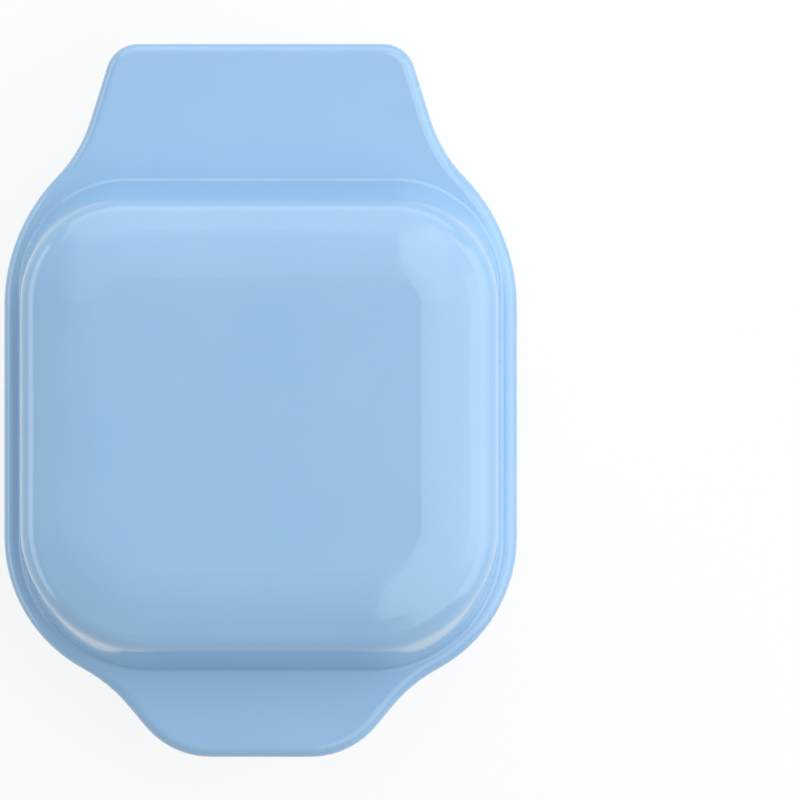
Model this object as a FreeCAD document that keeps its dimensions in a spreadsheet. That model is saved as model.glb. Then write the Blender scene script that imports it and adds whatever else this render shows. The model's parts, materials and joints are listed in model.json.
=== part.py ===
import FreeCAD, Part
import math
import os
from types import SimpleNamespace

import Sketcher

Vector = FreeCAD.Vector

# How closely a measured place or volume has to agree with the wanted one
PLACE_TOLERANCE = 0.001
RING_TOLERANCE = 0.01
VOLUME_TOLERANCE = 0.01

# The share of a straight run that one of its two bends may take
BEND_SHARE = 0.49

# Driving dimensions: millimetres, and degrees for flares, drafts and bends.
# The plan is laid out from the middle of the cooking plate, the front is -Y and the hinge is at +Y.
SIZES = {
    # Plan outline shared by lid and base
    "side_margin": 14.75,
    "front_margin": 17.05,
    "front_corner": 37.3,
    "rear_corner": 46.0,
    "rear_tab_reach": 65.0,
    "rear_tab_width": 72.5,
    "rear_tab_flare": 17.3,
    "rear_tab_corner": 8.0,
    "rear_blend": 35.0,
    "front_tab_reach": 54.6,
    "front_tab_width": 44.6,
    "front_tab_flare": 39.6,
    "front_tab_corner": 21.3,
    "front_blend": 38.0,
    # Shells
    "shell_wall": 2.5,
    "ledge_width": 1.2,
    "rim_room": 0.8,
    "rim_round": 2.8,
    "tab_thickness": 5.0,
    "parting_gap": 0.6,
    "crease_round": 1.0,
    "dome_inset": 4.3,
    "dome_rear_setback": 1.9,
    "dome_front_corner": 32.0,
    "dome_rear_corner": 26.4,
    "dome_height": 23.4,
    "dome_side_lean": 0.9,
    "dome_end_lean": 6.1,
    "dome_shoulder": 7.0,
    "crown_height": 4.6,
    "crown_run": 12.5,
    "crown_round": 34.0,
    "foot_height": 3.0,
    "tub_depth": 33.0,
    "bowl_inset": 6.5,
    "bowl_draft": 4.0,
    "bowl_round": 9.0,
    "lip_setback": 3.0,
    # Hinge housing at the rear of the base
    "housing_width": 76.0,
    "housing_lift": 2.0,
    "housing_corner": 6.0,
    "housing_gap": 1.0,
    "post_depth": 9.0,
    # Cord gland and mains junction
    "gland_gap": 0.2,
    "gland_neck": 9.0,
    "gland_flange": 11.6,
    "gland_flange_thickness": 2.0,
    "gland_collar": 3.0,
    "gland_bore": 6.5,
    "junction_width": 34.0,
    "junction_depth": 8.5,
    "junction_height": 9.4,
    "junction_setback": 3.0,
    "junction_pitch": 9.0,
    "junction_screw": 3.0,
    # Leads and sleeves
    "lead_diameter": 1.4,
    "lead_bend": 1.6,
    "lead_turn": 3.5,
    "lead_lane_gap": 2.0,
    "sleeve_diameter": 3.2,
    "sleeve_drop": 7.0,
    "sleeve_rise": 5.2,
    "sleeve_gap": 5.2,
    "sleeve_bend": 3.3,
    # Power light
    "lamp_height": 12.0,
    "lamp_diameter": 6.0,
    "lens_proud": 0.8,
    "lens_flange": 7.6,
    "lens_flange_thickness": 1.2,
    "bulb_diameter": 4.0,
    "bulb_length": 9.5,
    "holder_width": 10.0,
    "holder_depth": 4.5,
    # Thermostat and thermal fuse
    "thermostat_diameter": 16.0,
    "thermostat_height": 6.5,
    "thermostat_cap": 13.0,
    "thermostat_cap_height": 3.0,
    "blade_width": 4.8,
    "blade_spacing": 9.0,
    "blade_reach": 5.0,
    "strap_span": 20.4,
    "strap_foot": 7.0,
    "strap_width": 6.0,
    "strap_screw_length": 3.0,
    "fuse_diameter": 5.0,
    "fuse_length": 14.0,
    "fuse_wire": 1.2,
    "fuse_wire_reach": 2.0,
    # Feet and vents
    "foot_diameter": 13.0,
    "foot_stem": 5.0,
    "foot_head_height": 1.2,
    "foot_spacing_x": 76.0,
    "foot_spacing_y": 80.0,
    "vent_length": 34.0,
    "vent_width": 3.0,
    "vent_pitch": 8.0,
    # Hinge
    "hinge_setback": 14.5,
    "hinge_rise": 1.0,
    "knuckle_diameter": 12.0,
    "pin_diameter": 4.0,
    "pin_head": 6.4,
    "pin_head_length": 1.5,
    "running_clearance": 0.05,
    "cap_margin": 0.4,
    "post_width": 10.0,
    "ear_gap": 0.4,
    "ear_width": 5.0,
    "bush_wall": 1.0,
    "clip_diameter": 7.0,
    "clip_thickness": 0.8,
    "clip_bite": 0.4,
    # Cooking plates
    "peg_pitch": 18.8,
    "peg_width": 14.0,
    "peg_height": 6.6,
    "peg_draft": 14.0,
    "edge_groove": 1.75,
    "cavity_corner": 12.5,
    "cavity_depth": 8.6,
    "cavity_draft": 10.0,
    "plate_lip": 1.5,
    "plate_floor": 3.6,
    "flange_side": 6.0,
    "flange_end": 1.5,
    "flange_thickness": 1.6,
    # Frames round the plates
    "frame_drop": 0.4,
    "frame_thickness": 3.0,
    "frame_gap": 0.25,
    "frame_rear": 12.0,
    "tongue_spacing": 36.0,
    "tongue_width": 10.0,
    "tongue_reach": 1.4,
    "tongue_thickness": 1.6,
    # Heating loops
    "heater_diameter": 6.4,
    "heater_inset": 17.75,
    "heater_bend": 7.0,
    "heater_spacing": 24.0,
    "heater_end": 9.0,
    "heater_sink": 0.8,
    "rail_width": 10.0,
    "rail_height": 5.2,
    "cold_pin_diameter": 2.4,
    "cold_pin_reach": 7.0,
    "bead_diameter": 5.0,
    "bead_length": 4.0,
    # Reflector pans
    "sheet": 0.8,
    "pan_inset": 6.5,
    "pan_corner": 10.0,
    "pan_depth": 10.4,
    "pan_flange": 4.0,
    "pan_window": 24.0,
    # Fasteners
    "screw_diameter": 2.8,
    "screw_head": 5.2,
    "screw_head_height": 1.7,
    "recess_length": 3.4,
    "recess_width": 0.8,
    "screw_length": 4.6,
    "plate_screw_length": 3.8,
    "pan_screw_length": 6.0,
    "boss_wall": 2.1,
    "boss_inset": 6.25,
    "frame_screw_inset": 8.2,
    "frame_screw_angle": 47.0,
    "plate_screw_spacing": 40.0,
    # Bumpers that the closed lid rests on
    "bumper_diameter": 4.0,
    "bumper_stem": 2.4,
    "bumper_seat": 1.5,
    "bumper_offset": 0.35,
    # Plain gap between pieces that only pass each other
    "fit_gap": 0.3,
}


class Size:
    """A value together with the sheet expression that gives it."""

    def __init__(self, value, text):
        self.value = value
        self.text = text

    def __add__(self, other):
        other = sized(other)
        return Size(self.value + other.value, f"({self.text} + {other.text})")

    def __sub__(self, other):
        other = sized(other)
        return Size(self.value - other.value, f"({self.text} - {other.text})")

    def __rsub__(self, other):
        return sized(other) - self

    def __mul__(self, factor):
        factor = sized(factor)
        return Size(self.value * factor.value, f"({self.text} * {factor.text})")

    def __truediv__(self, divisor):
        divisor = sized(divisor)
        return Size(self.value / divisor.value, f"({self.text} / {divisor.text})")

    def __neg__(self):
        return Size(-self.value, f"(0 - {self.text})")


def sized(number):
    """Takes a plain number as a size of its own."""
    if isinstance(number, Size):
        return number
    return Size(float(number), f"({number})")


def tangent(angle):
    return Size(math.tan(math.radians(angle.value)), f"tan({angle.text} * 1 deg)")


def cosine(angle):
    return Size(math.cos(math.radians(angle.value)), f"cos({angle.text} * 1 deg)")


def sine(angle):
    return Size(math.sin(math.radians(angle.value)), f"sin({angle.text} * 1 deg)")


doc = FreeCAD.newDocument("waffle_maker")


def make_sheet():
    """Writes every driving dimension to a cell of its own and names the cell."""
    sheet = doc.addObject("Spreadsheet::Sheet", "sizes")
    for row, (alias, value) in enumerate(SIZES.items(), start=1):
        sheet.set(f"A{row}", alias)
        sheet.set(f"B{row}", str(value))
        sheet.setAlias(f"B{row}", alias)
    doc.recompute()
    cells = {alias: Size(float(getattr(sheet, alias)), f"sizes.{alias}") for alias in SIZES}
    return SimpleNamespace(**cells)


S = make_sheet()

# Plan distances from the middle of the plate
CELLS_ACROSS = 5
cavity_half = S.peg_pitch * (CELLS_ACROSS / 2) + S.edge_groove
half_width = cavity_half + S.side_margin
front_flat = cavity_half + S.front_margin
side_half = front_flat - S.front_corner
rear_end = side_half + S.rear_tab_reach
front_end = side_half + S.front_tab_reach
hinge_y = rear_end - S.hinge_setback
housing_rear = hinge_y - S.knuckle_diameter / 2 - S.housing_gap
frame_rear_edge = cavity_half + S.frame_rear
frame_screw_reach = S.rear_corner - S.frame_screw_inset
frame_screw_x = half_width - S.rear_corner + frame_screw_reach * cosine(S.frame_screw_angle)
frame_screw_y = side_half + frame_screw_reach * sine(S.frame_screw_angle)
bumper_half = cavity_half + S.bumper_offset
plan_shift = (front_end - rear_end) / 2

# Hinge pieces along X, from the inside of the lid's cap towards the middle
cap_wall = (S.shell_wall + S.ledge_width) / cosine(S.rear_tab_flare)
cap_flare = (S.hinge_setback - S.clip_diameter / 2) * tangent(S.rear_tab_flare)
pin_end = S.rear_tab_width / 2 + cap_flare - cap_wall - S.cap_margin
clip_start = pin_end - S.clip_thickness * 2
ear_start = clip_start - S.ear_gap - S.ear_width
post_inner = ear_start - S.ear_gap - S.post_width

# Heights above the table; a rim covers the frame, the plate's flange and the screw heads behind it
rim_stack = S.frame_drop + S.frame_thickness + S.flange_thickness + S.screw_head_height
rim_height = rim_stack + S.rim_room + S.shell_wall
base_rim = S.foot_height + S.tub_depth
rim_under = base_rim - rim_height
lid_rim = base_rim + S.parting_gap
rim_top = lid_rim + rim_height
tab_under = rim_top - S.tab_thickness
dome_top = rim_top + S.dome_height
dome_wall = S.dome_height - S.crown_height
shoulder = rim_top + dome_wall
hinge_z = base_rim + S.hinge_rise
lower_face = base_rim - S.frame_drop
upper_face = lid_rim + S.frame_drop
housing_floor = S.foot_height + S.housing_lift
frame_seat = S.frame_drop + S.frame_thickness
tub_floor = S.foot_height + S.shell_wall
gland_z = housing_floor + S.shell_wall + S.gland_gap + S.gland_flange / 2
lamp_z = S.foot_height + S.lamp_height
sleeve_z = hinge_z - S.sleeve_drop
sleeve_roof = rim_top - S.shell_wall - S.fit_gap - S.sleeve_diameter / 2
floor_lane = tub_floor + S.lead_diameter
bowl_top = rim_under + S.shell_wall

# Plate parts, measured down from the cooking face
plate_depth = S.cavity_depth + S.plate_floor
heater_level = -(plate_depth + S.rail_height - S.heater_sink)
heater_half = cavity_half - S.heater_inset
heater_end_y = heater_half + S.heater_end
pan_half = cavity_half - S.pan_inset
boss_half = pan_half - S.boss_inset
flange_x = cavity_half + S.plate_lip + S.flange_side
plate_screw_x = cavity_half + S.plate_lip + S.flange_side / 2
plate_screw_face = -(S.frame_thickness + S.flange_thickness + S.screw_head_height)
pan_screw_face = -(plate_depth + S.pan_depth + S.sheet + S.screw_head_height)
upper_lane = lower_face - (plate_depth + S.pan_depth + S.sheet + S.lead_lane_gap)
strap_screw_x = S.strap_span / 2 + S.sheet + S.strap_foot / 2
strap_screw_face = -(plate_depth + S.sheet + S.screw_head_height)
thermostat_drop = S.thermostat_height + S.thermostat_cap_height
fuse_wire_end = S.fuse_length / 2 + S.fuse_wire_reach

# Mains junction, gland, lamp and leads
junction_floor = housing_floor + S.shell_wall
junction_rear = housing_rear - S.shell_wall - S.gland_flange_thickness - S.junction_setback
junction_front = junction_rear - S.junction_depth
junction_top = junction_floor + S.junction_height
junction_middle = junction_floor + S.junction_height / 2
gland_end = housing_rear + S.gland_flange_thickness + S.gland_collar
lamp_wall = front_flat - S.bowl_inset - (bowl_top - lamp_z) * tangent(S.bowl_draft)
holder_rear = pan_half + S.sheet * 2
pin_lead_x = S.heater_spacing / 2
pin_lead_y = heater_end_y + S.cold_pin_reach + S.running_clearance
sleeve_side = post_inner - S.sleeve_gap
sleeve_mouth = cavity_half + S.plate_lip + S.flange_end + S.sleeve_diameter
dome_rear = front_flat - S.dome_inset - S.dome_rear_setback

VENT_ROWS = 5


class Drawing:
    """A sketch whose points and curves are each held by a size."""

    def __init__(self, body, name, plane="XY_Plane", level=None):
        self.sketch = body.newObject("Sketcher::SketchObject", name)
        support = next(item for item in body.Origin.OriginFeatures if item.Role == plane)
        self.sketch.AttachmentSupport = [(support, "")]
        self.sketch.MapMode = "FlatFace"
        if level is not None:
            self.sketch.setExpression("AttachmentOffset.Base.z", level.text)

    def constrain(self, kind, *where):
        return self.sketch.addConstraint(Sketcher.Constraint(kind, *where))

    def hold(self, kind, size, *where):
        index = self.constrain(kind, *where, size.value)
        self.sketch.setExpression(f"Constraints[{index}]", size.text)

    def hold_axis(self, kind, size, geometry, point):
        """Holds a point at a signed distance from the sketch's origin along one axis."""
        if size.value >= 0:
            self.hold(kind, size, -1, 1, geometry, point)
        else:
            self.hold(kind, -size, geometry, point, -1, 1)

    def hold_point(self, geometry, point, x, y):
        self.hold_axis("DistanceX", x, geometry, point)
        self.hold_axis("DistanceY", y, geometry, point)

    def line(self, start, end):
        """Adds a line and returns it with the numbers of its first and last points."""
        return (self.sketch.addGeometry(Part.LineSegment(Vector(*start), Vector(*end))), 1, 2)

    def arc(self, centre, start, end, turns_left):
        """Adds an arc about a centre; a right-hand turn is stored from its end to its start."""
        first, last = (start, end) if turns_left else (end, start)
        from_angle = math.atan2(first[1] - centre[1], first[0] - centre[0])
        to_angle = math.atan2(last[1] - centre[1], last[0] - centre[0])
        radius = math.dist(centre, start)
        circle = Part.Circle(Vector(*centre), Vector(0, 0, 1), radius)
        index = self.sketch.addGeometry(Part.ArcOfCircle(circle, from_angle, to_angle))
        return (index, 1, 2) if turns_left else (index, 2, 1)

    def circle(self, x, y, radius):
        shape = Part.Circle(Vector(x.value, y.value), Vector(0, 0, 1), radius.value)
        index = self.sketch.addGeometry(shape)
        self.hold("Radius", radius, index)
        self.hold_point(index, 3, x, y)

    def polygon(self, corners):
        """Draws a closed outline of straight lines through corners given as sizes."""
        places = [(x.value, y.value) for x, y in corners]
        lines = [self.line(a, b) for a, b in zip(places, places[1:] + places[:1])]
        for (index, first, last), (after, start, _), (x, y) in zip(lines, lines[1:] + lines[:1], corners):
            self.constrain("Coincident", index, last, after, start)
            self.hold_point(index, first, x, y)

    def rectangle(self, left, right, bottom, top):
        self.polygon([(left, bottom), (right, bottom), (right, top), (left, top)])

    def join_smoothly(self, pieces):
        """Makes each piece run into the next one with no corner."""
        for (index, _, last), (after, first, _) in zip(pieces, pieces[1:]):
            self.constrain("Tangent", index, last, after, first)

    def rounded_rectangle(self, half_x, front, rear, front_radius, rear_radius):
        """Draws a rectangle about the Y axis from -front to rear with its own radius at each end."""
        x, y0, y1 = half_x.value, -front.value, rear.value
        r0, r1 = front_radius.value, rear_radius.value
        bottom = self.line((r0 - x, y0), (x - r0, y0))
        corner_a = self.arc((x - r0, y0 + r0), (x - r0, y0), (x, y0 + r0), True)
        right = self.line((x, y0 + r0), (x, y1 - r1))
        corner_b = self.arc((x - r1, y1 - r1), (x, y1 - r1), (x - r1, y1), True)
        top = self.line((x - r1, y1), (r1 - x, y1))
        corner_c = self.arc((r1 - x, y1 - r1), (r1 - x, y1), (-x, y1 - r1), True)
        left = self.line((-x, y1 - r1), (-x, y0 + r0))
        corner_d = self.arc((r0 - x, y0 + r0), (-x, y0 + r0), (r0 - x, y0), True)
        self.join_smoothly([bottom, corner_a, right, corner_b, top, corner_c, left, corner_d, bottom])
        for side in (bottom, top):
            self.constrain("Horizontal", side[0])
        for side in (right, left):
            self.constrain("Vertical", side[0])
        for corner, radius in ((corner_a, front_radius), (corner_b, rear_radius)):
            self.hold("Radius", radius, corner[0])
        self.constrain("Equal", corner_a[0], corner_d[0])
        self.constrain("Equal", corner_b[0], corner_c[0])
        self.hold_axis("DistanceY", -front, bottom[0], 1)
        self.hold_axis("DistanceX", half_x, right[0], 1)
        self.hold_axis("DistanceY", rear, top[0], 1)
        self.hold_axis("DistanceX", -half_x, left[0], 1)

    def square(self, half, radius):
        self.rounded_rectangle(half, half, half, radius, radius)


class TabEnd:
    """One end of the plan outline: corner, hollow blend, flared tab side and rounded tip."""

    def __init__(self, inset, corner, blend, reach, width, flare, tip):
        self.corner = corner - inset
        self.blend = blend + inset
        self.reach = reach - inset
        self.flare = flare
        self.half = width / 2 + inset * (tangent(flare) - sized(1) / cosine(flare))
        self.tip = tip - inset

    def places(self, half_x):
        """Works out the tangent points and centres, measured from the end of the straight side."""
        lean = math.radians(self.flare.value)
        normal = (math.cos(lean), math.sin(lean))
        inward = (math.sin(lean), -math.cos(lean))
        corner, blend, reach = self.corner.value, self.blend.value, self.reach.value
        half, tip = self.half.value, self.tip.value
        body_centre = (half_x - corner, 0.0)
        start = (half + normal[0] * blend, reach + normal[1] * blend)
        gap = (start[0] - body_centre[0], start[1] - body_centre[1])
        along = gap[0] * inward[0] + gap[1] * inward[1]
        excess = gap[0] ** 2 + gap[1] ** 2 - (corner + blend) ** 2
        slide = -along - math.sqrt(along ** 2 - excess)
        blend_centre = (start[0] + slide * inward[0], start[1] + slide * inward[1])
        share = corner / (corner + blend)
        meet = tuple(b + (c - b) * share for b, c in zip(body_centre, blend_centre))
        side_start = (half + slide * inward[0], reach + slide * inward[1])
        tip_x = half - tip * (1 - math.sin(lean)) / math.cos(lean)
        tip_centre = (tip_x, reach - tip)
        side_end = (tip_x + normal[0] * tip, reach - tip + normal[1] * tip)
        return body_centre, meet, blend_centre, side_start, side_end, tip_centre, (tip_x, reach)


def rear_tab(inset):
    return TabEnd(
        inset, S.rear_corner, S.rear_blend, S.rear_tab_reach, S.rear_tab_width, S.rear_tab_flare,
        S.rear_tab_corner,
    )


def front_tab(inset, setback):
    width = S.front_tab_width + setback * 2 * tangent(S.front_tab_flare)
    return TabEnd(
        inset, S.front_corner, S.front_blend, S.front_tab_reach - setback, width, S.front_tab_flare,
        S.front_tab_corner,
    )


class Plan(Drawing):
    """The body outline: straight sides with a tab, a flat end or a cut-off end at front and rear."""

    def mirror_points(self, points, end):
        """Turns places at one end into right-hand and left-hand plan coordinates."""
        base = side_half.value
        return [[(side * x, end * (base + y)) for x, y in points] for side in (1, -1)]

    def tab(self, end, shape, half_x):
        """Draws both halves of a tab and its end line, from the right side round to the left side."""
        right, left = self.mirror_points(shape.places(half_x.value), end)
        rising = end > 0
        body, meet, blend, side_a, side_b, tip, last = right
        corner = (half_x.value, end * side_half.value)
        chain = [
            self.arc(body, corner, meet, rising),
            self.arc(blend, meet, side_a, not rising),
            self.line(side_a, side_b),
            self.arc(tip, side_b, last, rising),
            self.line(last, left[6]),
        ]
        body, meet, blend, side_a, side_b, tip, last = left
        chain += [
            self.arc(tip, last, side_b, rising),
            self.line(side_b, side_a),
            self.arc(blend, side_a, meet, not rising),
            self.arc(body, meet, (-corner[0], corner[1]), rising),
        ]
        self.join_smoothly(chain)
        limit = (side_half + shape.reach) * end
        self.constrain("Horizontal", chain[4][0])
        self.hold_axis("DistanceY", limit, chain[4][0], 1)
        flare_run = shape.half + shape.reach * tangent(shape.flare)
        for side, order in ((1, (0, 1, 2, 3)), (-1, (8, 7, 6, 5))):
            arc, hollow, flank, tip_arc = (chain[i][0] for i in order)
            self.hold("Radius", shape.corner, arc)
            self.hold("Radius", shape.blend, hollow)
            self.hold("Radius", shape.tip, tip_arc)
            self.hold_axis("DistanceY", side_half * end, arc, 3)
            self.hold_on_line(flank, shape.half * side, limit)
            self.hold_on_line(flank, flare_run * side, side_half * end)
        return chain

    def hold_on_line(self, line, x, y):
        """Makes a line's direction pass through a marked point."""
        point = self.sketch.addGeometry(Part.Point(Vector(x.value, y.value)), True)
        self.hold_point(point, 1, x, y)
        self.constrain("PointOnObject", point, 1, line)

    def flat(self, end, radius, limit, half_x):
        """Draws an end with two round corners and a straight edge."""
        rising = end > 0
        x, y, r = half_x.value, end * (limit.value - radius.value), radius.value
        stop = end * limit.value
        chain = [
            self.arc((x - r, y), (x, y), (x - r, stop), rising),
            self.line((x - r, stop), (r - x, stop)),
            self.arc((r - x, y), (r - x, stop), (-x, y), rising),
        ]
        self.join_smoothly(chain)
        self.constrain("Horizontal", chain[1][0])
        self.hold_axis("DistanceY", limit * end, chain[1][0], 1)
        for index in (0, 2):
            self.hold("Radius", radius, chain[index][0])
        return chain

    def cut_off(self, radius, limit, half_x):
        """Draws a rear end whose corner arcs stop at a straight edge."""
        x, y, r = half_x.value, side_half.value, radius.value
        reach = math.sqrt(r ** 2 - (limit.value - y) ** 2) + x - r
        chain = [
            self.arc((x - r, y), (x, y), (reach, limit.value), True),
            self.line((reach, limit.value), (-reach, limit.value)),
            self.arc((r - x, y), (-reach, limit.value), (-x, y), True),
        ]
        for (index, _, last), (after, first, _) in zip(chain, chain[1:]):
            self.constrain("Coincident", index, last, after, first)
        self.constrain("Horizontal", chain[1][0])
        self.hold_axis("DistanceY", limit, chain[1][0], 1)
        for index in (0, 2):
            self.hold("Radius", radius, chain[index][0])
            self.hold_axis("DistanceY", side_half, chain[index][0], 3)
        return chain

    def close(self, half_x, front, rear):
        """Adds the two straight sides between a front chain and a rear chain."""
        points = [self.sketch.getPoint(piece[0], piece[1]) for piece in (front[0], rear[0])]
        right = self.line((points[0].x, points[0].y), (points[1].x, points[1].y))
        left = self.line((-points[1].x, points[1].y), (-points[0].x, points[0].y))
        self.constrain("Tangent", front[0][0], front[0][1], right[0], 1)
        self.constrain("Tangent", right[0], 2, rear[0][0], rear[0][1])
        self.constrain("Tangent", rear[-1][0], rear[-1][2], left[0], 1)
        self.constrain("Tangent", left[0], 2, front[-1][0], front[-1][2])
        for side, sign in ((right, 1), (left, -1)):
            self.constrain("Vertical", side[0])
            self.hold_axis("DistanceX", half_x * sign, side[0], 1)


def plan_outline(body, name, level, inset=None, tabbed_front=False, setback=None, rear_edge=None):
    """Draws the plan at an inset, with or without its front tab, whole or cut off at the rear."""
    inset = sized(0) if inset is None else inset
    setback = sized(0) if setback is None else setback
    plan = Plan(body, name, level=level)
    half_x = half_width - inset
    if tabbed_front:
        front = plan.tab(-1, front_tab(inset, setback), half_x)
    else:
        front = plan.flat(-1, S.front_corner - inset, front_flat - inset, half_x)
    if rear_edge is None:
        rear = plan.tab(1, rear_tab(inset), half_x)
    else:
        rear = plan.cut_off(S.rear_corner - inset, rear_edge, half_x)
    plan.close(half_x, front, rear)
    return plan.sketch


def new_body(label):
    body = doc.addObject("PartDesign::Body", label)
    body.Label = label
    return body


def pad(body, sketch, length, down=False, taper=None):
    feature = body.newObject("PartDesign::Pad", f"{sketch.Name}_pad")
    return extrude(feature, sketch, length, down, taper)


def pocket(body, sketch, length, up=False, taper=None):
    feature = body.newObject("PartDesign::Pocket", f"{sketch.Name}_cut")
    return extrude(feature, sketch, length, up, taper)


def extrude(feature, sketch, length, reverse, taper):
    feature.Profile = sketch
    feature.setExpression("Length", length.text)
    feature.Reversed = reverse
    if taper is not None:
        feature.setExpression("TaperAngle", taper.text)
    return feature


def level_edges(feature, level, chosen=None):
    """Names a feature's edges that lie at one height and whose middle point a test accepts."""
    doc.recompute()
    names = []
    for number, edge in enumerate(feature.Shape.Edges, start=1):
        box = edge.BoundBox
        if max(abs(box.ZMin - level.value), abs(box.ZMax - level.value)) > PLACE_TOLERANCE:
            continue
        middle = edge.valueAt((edge.FirstParameter + edge.LastParameter) / 2)
        if chosen is None or chosen(middle):
            names.append(f"Edge{number}")
    return names


def round_edges(body, base, names, radius):
    feature = body.newObject("PartDesign::Fillet", f"{base.Name}_round")
    feature.Base = (base, names)
    feature.setExpression("Radius", radius.text)
    return feature


class BodyRing:
    """A rounded rectangle at an inset from the body's sides, with its ends drawn in further if asked."""

    def __init__(self, inset, end_inset=None, rear_setback=None):
        self.half_x = half_width - inset
        self.front = front_flat - inset - (sized(0) if end_inset is None else end_inset)
        self.rear = self.front - (sized(0) if rear_setback is None else rear_setback)
        self.front_radius = S.dome_front_corner + S.dome_inset - inset
        self.rear_radius = S.dome_rear_corner + S.dome_inset - inset

    def sketch(self, body, name, level):
        drawing = Drawing(body, name, level=level)
        drawing.rounded_rectangle(self.half_x, self.front, self.rear, self.front_radius, self.rear_radius)
        return drawing.sketch

    def holds(self, point):
        """Tells whether a point lies on the ring seen from above."""
        end, radius = (self.rear, self.rear_radius) if point.y > 0 else (self.front, self.front_radius)
        radius = radius.value
        across = abs(point.x) - self.half_x.value + radius
        along = abs(point.y) - end.value + radius
        reach = math.hypot(max(across, 0), max(along, 0)) + min(max(across, along), 0)
        return abs(reach - radius) < RING_TOLERANCE


def dome_rings(wall):
    """Gives the dome's rings at its foot, its shoulder and its crest, drawn in by a wall."""
    foot = S.dome_inset + wall
    shoulder_side, shoulder_end = foot + S.dome_side_lean, foot + S.dome_end_lean
    crest_side, crest_end = shoulder_side + S.crown_run, shoulder_end + S.crown_run
    return [
        BodyRing(side, end - side, S.dome_rear_setback)
        for side, end in ((foot, foot), (shoulder_side, shoulder_end), (crest_side, crest_end))
    ]


def dome_sketches(body, name, rings, drop):
    """Draws the dome's three rings, each lowered by a wall."""
    levels = (rim_top - drop, shoulder - drop, dome_top - drop)
    labels = ("foot", "shoulder", "crest")
    return [ring.sketch(body, f"{name}_{label}", level) for ring, label, level in zip(rings, labels, levels)]


def span_rings(body, kind, sketches):
    """Spans straight walls over a row of rings, one above the other."""
    feature = body.newObject(f"PartDesign::{kind}", f"{sketches[0].Name}_span")
    feature.Profile = sketches[0]
    feature.Sections = sketches[1:]
    feature.Ruled = True
    return feature


def side_bands(start, width):
    """Gives the lowest X of a band of a given width on the right and on the left."""
    return (start, -(start + width))


def add_knuckles(body, name, start, width, corners):
    """Adds a round knuckle on the hinge line, with its web, on both sides."""
    last = None
    for side, level in zip(("right", "left"), side_bands(start, width)):
        round_part = Drawing(body, f"{name}_{side}", plane="YZ_Plane", level=level)
        round_part.circle(hinge_y, hinge_z, S.knuckle_diameter / 2)
        pad(body, round_part.sketch, width)
        web = Drawing(body, f"{name}_web_{side}", plane="YZ_Plane", level=level)
        web.polygon(corners)
        last = pad(body, web.sketch, width)
    return last


def add_bores(body, name, start, width, radius):
    for side, level in zip(("right", "left"), side_bands(start, width)):
        bore = Drawing(body, f"{name}_{side}", plane="YZ_Plane", level=level)
        bore.circle(hinge_y, hinge_z, radius)
        pocket(body, bore.sketch, width, up=True)


def tongue_slots(body, level):
    """Cuts the two slots in the front wall that take the frame's tongues."""
    slots = Drawing(body, "tongue_slots", level=level)
    inner = front_flat - S.shell_wall
    half = S.tongue_width / 2 + S.fit_gap
    for side in (1, -1):
        middle = S.tongue_spacing / 2 * side
        slots.rectangle(middle - half, middle + half, -(inner + S.tongue_reach), -(inner - S.ledge_width))
    pocket(body, slots.sketch, S.tongue_thickness + S.fit_gap * 2, up=True)


def make_lid_shell():
    body = new_body("lid_shell")
    rim = pad(body, plan_outline(body, "lid_rim", lid_rim), tab_under - lid_rim)
    rim = pad(body, plan_outline(body, "lid_tabs", tab_under, tabbed_front=True), S.tab_thickness)
    rim = round_edges(body, rim, level_edges(rim, rim_top), S.rim_round)
    rings = dome_rings(sized(0))
    span_rings(body, "AdditiveLoft", dome_sketches(body, "dome", rings, sized(0)))
    top = hollow_lid(body)
    foot_ring, shoulder_ring, _ = rings
    top = round_edges(body, top, level_edges(top, dome_top), S.crown_round)
    top = round_edges(body, top, level_edges(top, shoulder, shoulder_ring.holds), S.dome_shoulder)
    round_edges(body, top, level_edges(top, rim_top, foot_ring.holds), S.crease_round)
    roof = rim_top - S.shell_wall / 2
    half = S.knuckle_diameter / 2
    front, rear = hinge_y - half, hinge_y + half
    web = [(front, hinge_z), (rear, hinge_z), (rear, roof), (front, roof)]
    add_knuckles(body, "ear", ear_start, S.ear_width, web)
    bush_radius = S.pin_diameter / 2 + S.running_clearance + S.bush_wall
    add_bores(body, "ear_bore", ear_start, S.ear_width, bush_radius)
    add_frame_bosses(body, lid_rim + frame_seat, roof - lid_rim - frame_seat, False)
    tongue_slots(body, upper_face + S.frame_thickness / 2 - S.tongue_thickness / 2 - S.fit_gap)
    return body


def hollow_lid(body):
    """Cuts the frame's seat, the hinge cap and the dome out of the lid's underside."""
    seat_cut = plan_outline(
        body, "lid_seat", lid_rim, inset=S.shell_wall, rear_edge=frame_rear_edge + S.frame_gap
    )
    pocket(body, seat_cut, frame_seat, up=True)
    cap = plan_outline(body, "lid_cap", lid_rim, inset=S.shell_wall + S.ledge_width)
    pocket(body, cap, rim_height - S.shell_wall, up=True)
    rings = dome_rings(S.shell_wall)
    top = span_rings(body, "SubtractiveLoft", dome_sketches(body, "dome_hollow", rings, S.shell_wall))
    top = round_edges(body, top, level_edges(top, dome_top - S.shell_wall), S.crown_round - S.shell_wall)
    edges = level_edges(top, shoulder - S.shell_wall, rings[1].holds)
    return round_edges(body, top, edges, S.dome_shoulder - S.shell_wall)


def add_frame_bosses(body, level, height, down):
    """Adds the two bosses that take the frame's rear screws, with their pilot holes."""
    bosses = Drawing(body, "frame_bosses", level=level)
    holes = Drawing(body, "frame_boss_holes", level=level)
    for side in (1, -1):
        bosses.circle(frame_screw_x * side, frame_screw_y, S.screw_diameter / 2 + S.boss_wall)
        holes.circle(frame_screw_x * side, frame_screw_y, S.screw_diameter / 2 + S.running_clearance)
    pad(body, bosses.sketch, height, down=down)
    pocket(body, holes.sketch, S.screw_length, up=not down)


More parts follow.
